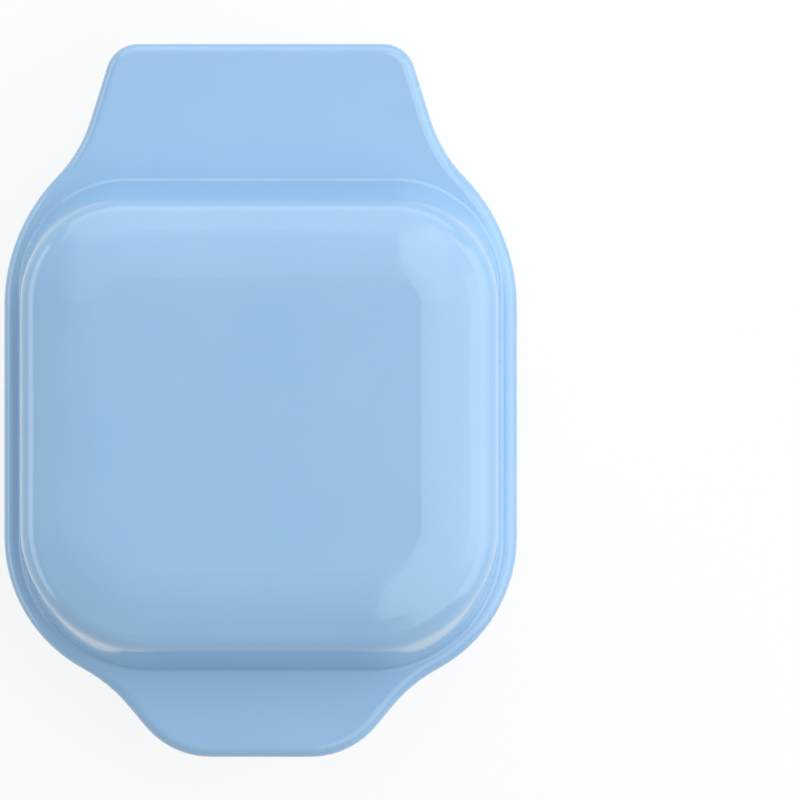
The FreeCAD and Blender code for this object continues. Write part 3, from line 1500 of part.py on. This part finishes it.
def finish(parts):
    """Moves every piece so that the object's box is centred, checks it and writes it."""
    for piece in parts:
        piece.setExpression("Placement.Base.y", plan_shift.text)
    doc.recompute()
    failed = [item.Label for item in doc.Objects if {"Invalid", "Error"} & set(item.State)]
    failed += [piece.Label for piece in parts if piece.Shape.isNull() or not piece.Shape.isValid()]
    if failed:
        raise RuntimeError(f"these pieces failed: {failed}")
    os.makedirs("parts", exist_ok=True)
    for piece in parts:
        piece.Shape.exportStep(f"parts/{piece.Label}.step")
        box = piece.Shape.BoundBox
        print(piece.Label, len(piece.Shape.Solids), "solids", round(piece.Shape.Volume), "mm3", box)


finish(build())
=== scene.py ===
import json
import math

import bmesh
import bpy
import mathutils
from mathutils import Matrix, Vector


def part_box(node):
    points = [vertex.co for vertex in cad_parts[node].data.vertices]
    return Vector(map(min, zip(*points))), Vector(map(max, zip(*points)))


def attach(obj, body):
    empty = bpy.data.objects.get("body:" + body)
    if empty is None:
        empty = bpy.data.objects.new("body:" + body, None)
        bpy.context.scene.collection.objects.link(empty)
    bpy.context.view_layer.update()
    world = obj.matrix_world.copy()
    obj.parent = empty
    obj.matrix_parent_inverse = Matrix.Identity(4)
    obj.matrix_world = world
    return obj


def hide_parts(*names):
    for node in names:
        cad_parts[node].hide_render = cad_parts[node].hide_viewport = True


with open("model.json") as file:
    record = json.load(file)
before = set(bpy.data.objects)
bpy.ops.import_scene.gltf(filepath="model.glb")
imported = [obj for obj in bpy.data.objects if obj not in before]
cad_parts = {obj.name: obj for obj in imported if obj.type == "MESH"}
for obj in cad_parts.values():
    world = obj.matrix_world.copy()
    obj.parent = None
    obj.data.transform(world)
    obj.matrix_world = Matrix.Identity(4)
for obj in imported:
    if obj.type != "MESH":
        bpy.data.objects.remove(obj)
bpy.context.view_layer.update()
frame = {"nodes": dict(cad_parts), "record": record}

nodes = frame["nodes"]
slot_of = {subpart["node"]: subpart["material_slot"] for subpart in frame["record"]["subparts"]}

# Pieces and the depth of a finish's relief are given in mm, and MM turns them into metres
MM = 0.001
# The radius at which a turned profile closes on its axis
POLE = 0.001
TURNED_SIDES = 72
TURNED_MERGE = 0.02
CAST_MERGE = 0.001
FLAT_ANGLE = math.radians(1)
ROUNDED_ANGLE = math.radians(32)
SMOOTH_ANGLE = math.radians(35)

GLAND_HEIGHT = 13.5
LENS_HEIGHT = 15.0

# Both plates face each other: each has a face, and a cavity with pegs that goes away from it
LOWER_PLATE_FACE = 35.6
UPPER_PLATE_FACE = 37.0
DOWN, UP = -1, 1
FACE_SLACK = 0.01
CAVITY_DEPTH = 8.61
CAVITY_HALF_WIDTH = 50.3
PEG_EDGE_ANGLE = math.radians(25)
PEG_ROUNDING = 0.7
PEG_ROUNDING_STEPS = 3

# Screen colours of 0 to 255, dark and light
STEEL = ((176, 176, 179), (206, 206, 208))
ZINC = ((186, 187, 190), (212, 212, 210))
BRASS = ((186, 150, 82), (214, 180, 108))
PAN_ALUMINIUM = ((196, 197, 199), (222, 223, 224))
THERMOSTAT_ALUMINIUM = ((198, 198, 196), (220, 220, 217))
FUSE_ALUMINIUM = ((206, 203, 196), (226, 223, 215))

# The studio is in metres
FLOOR_SIZE = 12
FLOOR_PAINT = (0.95, 0.95, 0.95, 1.0)
FLOOR_GLOW = 0.85
AMBIENT = 0.2
CAMERA_PLACE = (0.0345, 0.0001, 1.6)
CAMERA_LENS = 282.8
SENSOR_WIDTH = 36.0
LID_MIDDLE = (0, 0, 0.06)
# Each softbox: its place, width and height, and the brightness of its face
SOFTBOXES = {
    "right_softbox_high": ((0.631, 0, 1.638), 2.8, 1.118, 1.25),
    "right_softbox_middle": ((1.349, 0, 1.095), 2.429, 0.754, 2.0),
    "right_softbox_low": ((1.653, 0, 0.457), 2.583, 0.692, 1.2),
    "rear_softbox_high": ((0, 0.581, 1.657), 1.791, 1.105, 0.45),
    "rear_softbox_middle": ((0, 1.33, 1.118), 2.396, 0.816, 1.02),
    "rear_softbox_low": ((0, 1.653, 0.457), 2.583, 0.692, 1.35),
    "left_softbox_low": ((-1.65, 0, 0.471), 2.577, 0.723, 1.7),
}


def linear_share(value):
    """Turns one screen value of 0 to 255 into its share of full light."""
    share = value / 255
    return share / 12.92 if share <= 0.04045 else ((share + 0.055) / 1.055) ** 2.4


def screen_colour(red, green, blue):
    """Turns a screen colour into the linear colour that shaders use."""
    return (linear_share(red), linear_share(green), linear_share(blue), 1.0)


class Finish:
    """A finish made of nodes, whose patterns read the piece's own coordinates in metres."""

    WIDE_SPAN = (0.25, 0.75)
    CLOSE_SPAN = (0.3, 0.7)

    def __init__(self, name, **constants):
        self.material = bpy.data.materials.new(name)
        self.material.use_nodes = True
        self.nodes = self.material.node_tree.nodes
        self.links = self.material.node_tree.links
        self.shader = self.nodes["Principled BSDF"]
        self.place = self.nodes.new("ShaderNodeTexCoord").outputs["Object"]
        for socket, value in constants.items():
            self.shader.inputs[socket.replace("_", " ")].default_value = value

    def turned(self, scale=(1, 1, 1), angles=(0, 0, 0)):
        """Gives the coordinates scaled, and turned by angles in degrees."""
        mapping = self.nodes.new("ShaderNodeMapping")
        mapping.inputs["Scale"].default_value = scale
        mapping.inputs["Rotation"].default_value = [math.radians(angle) for angle in angles]
        self.links.new(self.place, mapping.inputs["Vector"])
        return mapping.outputs["Vector"]

    def texture(self, kind, place, **values):
        node = self.nodes.new(kind)
        for socket, value in values.items():
            node.inputs[socket].default_value = value
        self.links.new(place or self.place, node.inputs["Vector"])
        return node

    def cloud(self, scale, detail, place=None):
        node = self.texture("ShaderNodeTexNoise", place, Scale=scale, Detail=detail)
        return node.outputs["Fac"]

    def specks(self, scale):
        return self.texture("ShaderNodeTexVoronoi", None, Scale=scale).outputs["Distance"]

    def bands(self, scale, direction, distortion, place=None):
        node = self.texture("ShaderNodeTexWave", place, Scale=scale, Distortion=distortion)
        node.bands_direction = direction
        return node.outputs["Fac"]

    def ramp(self, pattern, *stops):
        """Runs a pattern through screen colours or grey levels, each given as (position, value)."""
        node = self.nodes.new("ShaderNodeValToRGB")
        marks = node.color_ramp.elements
        while len(marks) < len(stops):
            marks.new(1.0)
        for mark, (position, value) in zip(marks, stops):
            mark.position = position
            is_colour = isinstance(value, tuple)
            mark.color = screen_colour(*value) if is_colour else (value, value, value, 1.0)
        self.links.new(pattern, node.inputs["Fac"])
        return node.outputs["Color"]

    def spread(self, pattern, low, high, span=WIDE_SPAN):
        """Runs a span of a pattern from one screen colour or grey level to another."""
        start, end = span
        return self.ramp(pattern, (start, low), (end, high))

    def mottle(self, scale, detail, dark, light):
        """Gives a ground that drifts between two screen colours."""
        return self.spread(self.cloud(scale, detail), dark, light, self.CLOSE_SPAN)

    def mixed(self, factor, first, second, way="MIX"):
        node = self.nodes.new("ShaderNodeMix")
        node.data_type = "RGBA"
        node.blend_type = way
        sockets = {socket.identifier: socket for socket in node.inputs}
        values = {"Factor_Float": factor, "A_Color": first, "B_Color": second}
        for identifier, value in values.items():
            if isinstance(value, bpy.types.NodeSocket):
                self.links.new(value, sockets[identifier])
            else:
                sockets[identifier].default_value = value
        return next(socket for socket in node.outputs if socket.identifier == "Result_Color")

    def flecked(self, ground, scale, strength, width, fleck):
        """Scatters flecks of a screen colour over a ground."""
        flecks = self.ramp(self.specks(scale), (0.0, strength), (width, 0.0))
        return self.mixed(flecks, ground, screen_colour(*fleck))

    def colour(self, pattern):
        self.links.new(pattern, self.shader.inputs["Base Color"])

    def roughness(self, pattern, low, high):
        self.links.new(self.spread(pattern, low, high), self.shader.inputs["Roughness"])

    def relief(self, pattern, depth, strength=1.0):
        """Raises a pattern by a depth in mm, over any relief that is there already."""
        node = self.nodes.new("ShaderNodeBump")
        node.inputs["Strength"].default_value = strength
        node.inputs["Distance"].default_value = depth * MM
        self.links.new(pattern, node.inputs["Height"])
        normal = self.shader.inputs["Normal"]
        if normal.is_linked:
            self.links.new(normal.links[0].from_socket, node.inputs["Normal"])
        self.links.new(node.outputs["Normal"], normal)


def gloss_shell_plastic():
    finish = Finish("gloss_shell_plastic", IOR=1.5,
                    Coat_Weight=0.6, Coat_Roughness=0.04, Coat_IOR=1.5)
    finish.colour(finish.mottle(30, 2, (141, 186, 225), (145, 189, 227)))
    finish.roughness(finish.cloud(900, 4), 0.16, 0.24)
    finish.relief(finish.cloud(160, 1), 0.02)
    finish.relief(finish.cloud(2600, 2), 0.0012)
    return finish.material


def satin_frame_plastic():
    finish = Finish("satin_frame_plastic", IOR=1.5)
    finish.colour(finish.mottle(45, 3, (128, 173, 212), (134, 178, 216)))
    finish.roughness(finish.cloud(700, 4), 0.36, 0.5)
    finish.relief(finish.specks(2400), 0.02, 0.6)
    return finish.material


def nonstick_coat():
    finish = Finish("nonstick_coat", IOR=1.45)
    ground = finish.mottle(60, 4, (30, 30, 32), (40, 39, 40))
    finish.colour(finish.flecked(ground, 1500, 1.0, 0.16, (96, 96, 98)))
    finish.roughness(finish.cloud(420, 5), 0.3, 0.46)
    finish.relief(finish.cloud(2200, 3), 0.02)
    return finish.material


def heat_tinted_sheath():
    finish = Finish("heat_tinted_sheath", Metallic=1.0)
    finish.colour(finish.ramp(finish.cloud(55, 3), (0.25, (98, 88, 78)), (0.5, (132, 124, 116)),
                              (0.75, (104, 106, 114))))
    finish.roughness(finish.cloud(700, 4), 0.36, 0.55)
    finish.relief(finish.cloud(1800, 3), 0.02)
    return finish.material


def fired_ceramic():
    finish = Finish("fired_ceramic", IOR=1.52)
    ground = finish.mottle(250, 4, (228, 224, 211), (240, 237, 227))
    finish.colour(finish.flecked(ground, 1300, 0.6, 0.12, (182, 172, 152)))
    finish.roughness(finish.cloud(900, 4), 0.5, 0.72)
    finish.relief(finish.cloud(2400, 3), 0.03)
    return finish.material


def bare_metal(name, shades, roughness, grain, depth, scale=(1, 1, 1)):
    """A metal with grain drawn out along the direction of its least scale."""
    finish = Finish(name, Metallic=1.0)
    lines = finish.cloud(grain, 4, finish.turned(scale))
    finish.colour(finish.spread(lines, *shades))
    finish.roughness(finish.cloud(300, 4), *roughness)
    finish.relief(lines, depth)
    return finish


def drawn_metal(*description):
    return bare_metal(*description).material


def zinc_plate():
    finish = bare_metal("zinc_plate", ZINC, (0.26, 0.4), 1600, 0.006)
    finish.relief(finish.bands(700, "Z", 1.0), 0.008)
    return finish.material


def turned_metal(name, shades):
    finish = bare_metal(name, shades, (0.2, 0.34), 500, 0.004)
    finish.relief(finish.bands(1400, "X", 0.6), 0.01)
    return finish.material


def moulded_rubber(name, dark, light):
    finish = Finish(name, IOR=1.5)
    finish.colour(finish.mottle(260, 4, dark, light))
    finish.roughness(finish.cloud(600, 4), 0.62, 0.82)
    finish.relief(finish.specks(2600), 0.03, 0.7)
    return finish.material


def junction_plastic():
    finish = Finish("junction_plastic", IOR=1.5)
    finish.colour(finish.mottle(180, 3, (229, 226, 212), (238, 235, 222)))
    finish.roughness(finish.cloud(800, 4), 0.42, 0.58)
    finish.relief(finish.cloud(2600, 2), 0.02)
    return finish.material


def amber_lens():
    finish = Finish("amber_lens", IOR=1.49, Transmission_Weight=0.75)
    finish.colour(finish.mottle(500, 2, (236, 126, 40), (246, 146, 56)))
    finish.roughness(finish.cloud(900, 3), 0.06, 0.14)
    finish.relief(finish.cloud(1200, 1), 0.01)
    return finish.material


def bulb_glass():
    finish = Finish("bulb_glass", IOR=1.5, Transmission_Weight=0.9)
    finish.colour(finish.mottle(600, 2, (240, 218, 186), (248, 232, 206)))
    finish.roughness(finish.cloud(900, 3), 0.02, 0.08)
    finish.relief(finish.cloud(700, 1), 0.01)
    return finish.material


def silicone_lead():
    finish = Finish("silicone_lead", IOR=1.45)
    finish.colour(finish.mottle(220, 3, (226, 224, 216), (238, 236, 229)))
    finish.roughness(finish.cloud(700, 4), 0.45, 0.62)
    finish.relief(finish.cloud(1800, 2), 0.02)
    return finish.material


def woven_sleeve():
    finish = Finish("woven_sleeve", IOR=1.5)
    one_way = finish.bands(520, "X", 0.4, finish.turned(angles=(40, 40, 45)))
    other_way = finish.bands(520, "X", 0.4, finish.turned(angles=(-40, -40, -45)))
    weave = finish.mixed(1.0, one_way, other_way, "MULTIPLY")
    finish.colour(finish.ramp(weave, (0.05, (186, 181, 163)), (0.6, (233, 230, 217))))
    finish.roughness(finish.cloud(1400, 3), 0.7, 0.9)
    finish.relief(weave, 0.12)
    return finish.material


finishes = {
    "shell_blue": gloss_shell_plastic(),
    "frame_blue": satin_frame_plastic(),
    "nonstick": nonstick_coat(),
    "heater_sheath": heat_tinted_sheath(),
    "cold_pin": drawn_metal("drawn_pin_steel", STEEL, (0.2, 0.34), 2200, 0.006, (1, 0.04, 1)),
    "ceramic": fired_ceramic(),
    "pan_sheet": drawn_metal("rolled_pan_aluminium", PAN_ALUMINIUM, (0.26, 0.4), 1500, 0.008,
                             (1, 0.03, 1)),
    "screw_steel": zinc_plate(),
    "strap_steel": drawn_metal("rolled_strap_steel", STEEL, (0.24, 0.4), 1800, 0.008,
                               (0.03, 1, 1)),
    "thermostat_case": drawn_metal("thermostat_aluminium", THERMOSTAT_ALUMINIUM, (0.3, 0.46),
                                   1400, 0.008),
    "fuse_case": drawn_metal("fuse_aluminium", FUSE_ALUMINIUM, (0.24, 0.38), 1600, 0.006,
                             (0.04, 1, 1)),
    "hinge_steel": turned_metal("turned_hinge_steel", STEEL),
    "bush_brass": turned_metal("turned_brass", BRASS),
    "foot_rubber": moulded_rubber("foot_rubber", (52, 52, 55), (64, 64, 67)),
    "gland_rubber": moulded_rubber("gland_rubber", (58, 58, 61), (72, 72, 75)),
    "junction_plastic": junction_plastic(),
    "lens_amber": amber_lens(),
    "bulb_glass": bulb_glass(),
    "lead_white": silicone_lead(),
    "sleeve_braid": woven_sleeve(),
}


def stand_for(piece, node, body):
    """Lets a piece take the place of a CAD node on its body, in the node's finish."""
    piece.data.materials.clear()
    piece.data.materials.append(finishes[slot_of[node]])
    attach(piece, body)
    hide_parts(node)


def take_up(piece):
    """Makes a piece the only one selected."""
    bpy.ops.object.select_all(action="DESELECT")
    piece.select_set(True)
    bpy.context.view_layer.objects.active = piece


def turn_piece(name, profile, rounding):
    """Turns a piece about Z: a circle is drawn out ring by ring through (radius, height)."""
    bpy.ops.object.select_all(action="DESELECT")
    radius, height = profile[0]
    bpy.ops.mesh.primitive_circle_add(vertices=TURNED_SIDES, radius=radius * MM)
    piece = bpy.context.object
    piece.name = piece.data.name = name
    bpy.ops.object.mode_set(mode="EDIT")
    bpy.ops.mesh.select_all(action="SELECT")
    bpy.ops.transform.translate(value=(0, 0, height * MM))
    for next_radius, next_height in profile[1:]:
        rise = (0, 0, (next_height - height) * MM)
        bpy.ops.mesh.extrude_region_move(TRANSFORM_OT_translate={"value": rise})
        share = next_radius / radius
        bpy.ops.transform.resize(value=(share, share, 1), center_override=(0, 0, 0))
        radius, height = next_radius, next_height
    bpy.ops.mesh.select_all(action="SELECT")
    bpy.ops.mesh.remove_doubles(threshold=TURNED_MERGE * MM)
    bpy.ops.mesh.normals_make_consistent(inside=False)
    bpy.ops.object.mode_set(mode="OBJECT")
    bevel = piece.modifiers.new("rounding", "BEVEL")
    bevel.width = rounding * MM
    bevel.segments = 2
    bevel.angle_limit = ROUNDED_ANGLE
    bpy.ops.object.modifier_apply(modifier=bevel.name)
    bpy.ops.object.shade_smooth_by_angle(angle=SMOOTH_ANGLE)
    return piece


def lay_along_y(piece, height):
    """Turns an upright piece to lie along Y at a height."""
    take_up(piece)
    piece.rotation_euler = (math.radians(-90), 0, 0)
    piece.location = (0, 0, height * MM)
    bpy.ops.object.transform_apply(location=True, rotation=True, scale=True)


def corners_of(node, radius):
    """Gives the middles of four round pieces in the corners of a node's box."""
    low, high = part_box(node)
    edge = radius * MM
    xs = {"left": low[0] + edge, "right": high[0] - edge}
    ys = {"front": low[1] + edge, "rear": high[1] - edge}
    return {f"{end}_{side}": (x, y) for side, x in xs.items() for end, y in ys.items()}


def set_out_corners(name, profile, rounding, node):
    """Turns a piece and copies it to each corner of a node's box, with its place in its mesh."""
    pattern = turn_piece(name, profile, rounding)
    widest = max(radius for radius, _ in profile)
    copies = []
    for label, (x, y) in corners_of(node, widest).items():
        take_up(pattern)
        bpy.ops.object.duplicate(linked=False)
        piece = bpy.context.object
        piece.name = piece.data.name = f"{name}_{label}"
        piece.location = (x, y, 0)
        bpy.ops.object.transform_apply(location=True, rotation=True, scale=True)
        copies.append(piece)
    bpy.data.objects.remove(pattern)
    for piece in copies:
        stand_for(piece, node, "base")


def make_feet():
    head = [(POLE, 6.7), (1.9, 6.7), (3.05, 5.8), (3.05, 5.5), (2.45, 5.5)]
    pad = [(2.45, 3.0), (6.2, 3.0), (6.5, 2.6), (6.5, 2.0)]
    groove = [(6.15, 1.85), (6.15, 1.5), (6.5, 1.35), (6.5, 0.6)]
    ring = [(6.0, 0.0), (4.6, 0.0), (4.2, 0.5), (3.4, 0.5)]
    sole = [(3.1, 0.15), (2.0, 0.15), (1.7, 0.6), (POLE, 0.6)]
    set_out_corners("rubber_foot", head + pad + groove + ring + sole, 0.15, "rubber_feet")


def make_bumpers():
    stem = [(POLE, 34.1), (1.15, 34.1), (1.15, 35.6)]
    button = [(1.95, 35.6), (2.0, 36.15), (1.82, 36.55)]
    dome = [(1.4, 36.82), (0.8, 36.96), (POLE, 37.0)]
    set_out_corners("lid_bumper", stem + button + dome, 0.08, "lid_bumpers")


def make_gland():
    inside = [(3.25, 62.3), (5.5, 62.3), (5.8, 62.7), (5.8, 64.1), (5.6, 64.3), (4.45, 64.3)]
    flange = [(4.45, 66.8), (5.6, 66.8), (5.8, 67.05), (5.8, 68.0), (5.3, 68.7), (4.5, 68.8)]
    first_rib = [(4.5, 69.2), (4.0, 69.35), (4.0, 69.75)]
    second_rib = [(4.4, 69.9), (4.4, 70.3), (3.9, 70.45), (3.9, 70.85)]
    mouth = [(4.3, 71.0), (4.3, 71.55), (4.05, 71.8), (3.55, 71.8), (3.25, 71.45), (3.25, 62.3)]
    profile = inside + flange + first_rib + second_rib + mouth
    gland = turn_piece("ribbed_cord_gland", profile, 0.1)
    lay_along_y(gland, GLAND_HEIGHT)
    stand_for(gland, "cord_gland", "base")


def make_lens():
    flange = [(POLE, -59.54), (3.65, -59.54), (3.8, -59.7), (3.8, -60.6), (3.7, -60.74)]
    barrel = [(3.0, -60.74), (3.0, -63.7)]
    dome = [(2.85, -63.92), (2.4, -64.12), (1.7, -64.27), (0.9, -64.34), (POLE, -64.36)]
    lens = turn_piece("domed_lamp_lens", flange + barrel + dome, 0.08)
    lay_along_y(lens, LENS_HEIGHT)
    stand_for(lens, "lamp_lens", "base")


def dress_plate(node, body, face, cavity_way):
    """Copies a cast plate and rounds the edges of its pegs and of its cavity's mouth."""
    piece = nodes[node].copy()
    piece.data = nodes[node].data.copy()
    piece.name = piece.data.name = f"cast_{node}"
    bpy.context.collection.objects.link(piece)
    piece.parent = None
    piece.matrix_world = mathutils.Matrix()
    take_up(piece)
    bpy.ops.mesh.customdata_custom_splitnormals_clear()
    bpy.ops.object.mode_set(mode="EDIT")
    bpy.ops.mesh.select_mode(type="EDGE")
    bpy.ops.mesh.select_all(action="SELECT")
    bpy.ops.mesh.remove_doubles(threshold=CAST_MERGE * MM)
    bpy.ops.mesh.dissolve_limited(angle_limit=FLAT_ANGLE)
    bpy.ops.mesh.select_all(action="DESELECT")
    mesh = bmesh.from_edit_mesh(piece.data)
    for edge in mesh.edges:
        depths = [(vertex.co.z - face * MM) * cavity_way for vertex in edge.verts]
        in_depth = min(depths) > -FACE_SLACK * MM and max(depths) < CAVITY_DEPTH * MM
        reach = max(abs(vertex.co.x) for vertex in edge.verts)
        if in_depth and reach < CAVITY_HALF_WIDTH * MM and edge.is_manifold:
            edge.select_set(edge.is_convex and edge.calc_face_angle() > PEG_EDGE_ANGLE)
    bmesh.update_edit_mesh(piece.data)
    bpy.ops.mesh.bevel(offset=PEG_ROUNDING * MM, segments=PEG_ROUNDING_STEPS, affect="EDGES",
                       clamp_overlap=True)
    bpy.ops.object.mode_set(mode="OBJECT")
    bpy.ops.object.shade_smooth_by_angle(angle=SMOOTH_ANGLE)
    stand_for(piece, node, body)


def seen_rays(tree, level):
    """Gives a level for rays from the camera, mirrors and clear pieces, and 0 for other rays."""
    path = tree.nodes.new("ShaderNodeLightPath")
    total = path.outputs["Is Camera Ray"]
    for name in ("Is Glossy Ray", "Is Transmission Ray"):
        either = tree.nodes.new("ShaderNodeMath")
        either.operation = "MAXIMUM"
        tree.links.new(total, either.inputs[0])
        tree.links.new(path.outputs[name], either.inputs[1])
        total = either.outputs[0]
    scaled = tree.nodes.new("ShaderNodeMath")
    scaled.operation = "MULTIPLY"
    scaled.inputs[1].default_value = level
    tree.links.new(total, scaled.inputs[0])
    return scaled.outputs[0]


def lay_floor():
    """Lays a plain floor that is seen as nearly white and still takes the object's shadow."""
    bpy.ops.object.select_all(action="DESELECT")
    bpy.ops.mesh.primitive_plane_add(size=FLOOR_SIZE)
    floor = bpy.context.object
    floor.name = "studio_floor"
    surface = bpy.data.materials.new("pale_floor")
    surface.use_nodes = True
    tree = surface.node_tree
    tree.nodes.remove(tree.nodes["Principled BSDF"])
    paint = tree.nodes.new("ShaderNodeBsdfDiffuse")
    paint.inputs["Color"].default_value = FLOOR_PAINT
    glow = tree.nodes.new("ShaderNodeEmission")
    mix = tree.nodes.new("ShaderNodeMixShader")
    tree.links.new(seen_rays(tree, FLOOR_GLOW), mix.inputs["Fac"])
    tree.links.new(paint.outputs[0], mix.inputs[1])
    tree.links.new(glow.outputs[0], mix.inputs[2])
    tree.links.new(mix.outputs[0], tree.nodes["Material Output"].inputs["Surface"])
    floor.data.materials.append(surface)


def light_room():
    """Makes a white room that gives only its ambient share as light."""
    world = bpy.data.worlds.new("pale_room")
    bpy.context.scene.world = world
    world.use_nodes = True
    tree = world.node_tree
    level = tree.nodes.new("ShaderNodeMath")
    level.operation = "ADD"
    level.inputs[1].default_value = AMBIENT
    tree.links.new(seen_rays(tree, 1.0 - AMBIENT), level.inputs[0])
    tree.links.new(level.outputs[0], tree.nodes["Background"].inputs["Strength"])
    tree.nodes["Background"].inputs["Color"].default_value = (1.0, 1.0, 1.0, 1.0)


def hang_softbox(name, place, width, height, radiance):
    """Hangs a softbox that faces the lid and stays out of the picture."""
    lamp = bpy.data.lights.new(name, "AREA")
    lamp.shape = "RECTANGLE"
    lamp.size = width
    lamp.size_y = height
    lamp.energy = radiance * math.pi * width * height
    box = bpy.data.objects.new(name, lamp)
    bpy.context.collection.objects.link(box)
    box.location = place
    towards = mathutils.Vector(LID_MIDDLE) - box.location
    box.rotation_euler = towards.to_track_quat("-Z", "Y").to_euler()
    box.visible_camera = False


def set_camera():
    """Sets a camera that looks straight down."""
    lens = bpy.data.cameras.new("overhead_camera")
    lens.sensor_width = SENSOR_WIDTH
    lens.lens = CAMERA_LENS
    camera = bpy.data.objects.new("overhead_camera", lens)
    bpy.context.collection.objects.link(camera)
    camera.location = CAMERA_PLACE
    bpy.context.scene.camera = camera


for node, slot in slot_of.items():
    for holder in nodes[node].material_slots:
        holder.material = finishes[slot]
make_feet()
make_bumpers()
make_gland()
make_lens()
dress_plate("lower_plate", "base", LOWER_PLATE_FACE, DOWN)
dress_plate("upper_plate", "lid", UPPER_PLATE_FACE, UP)
lay_floor()
light_room()
for name, softbox in SOFTBOXES.items():
    hang_softbox(name, *softbox)
set_camera()
bpy.context.scene.view_settings.view_transform = "Standard"
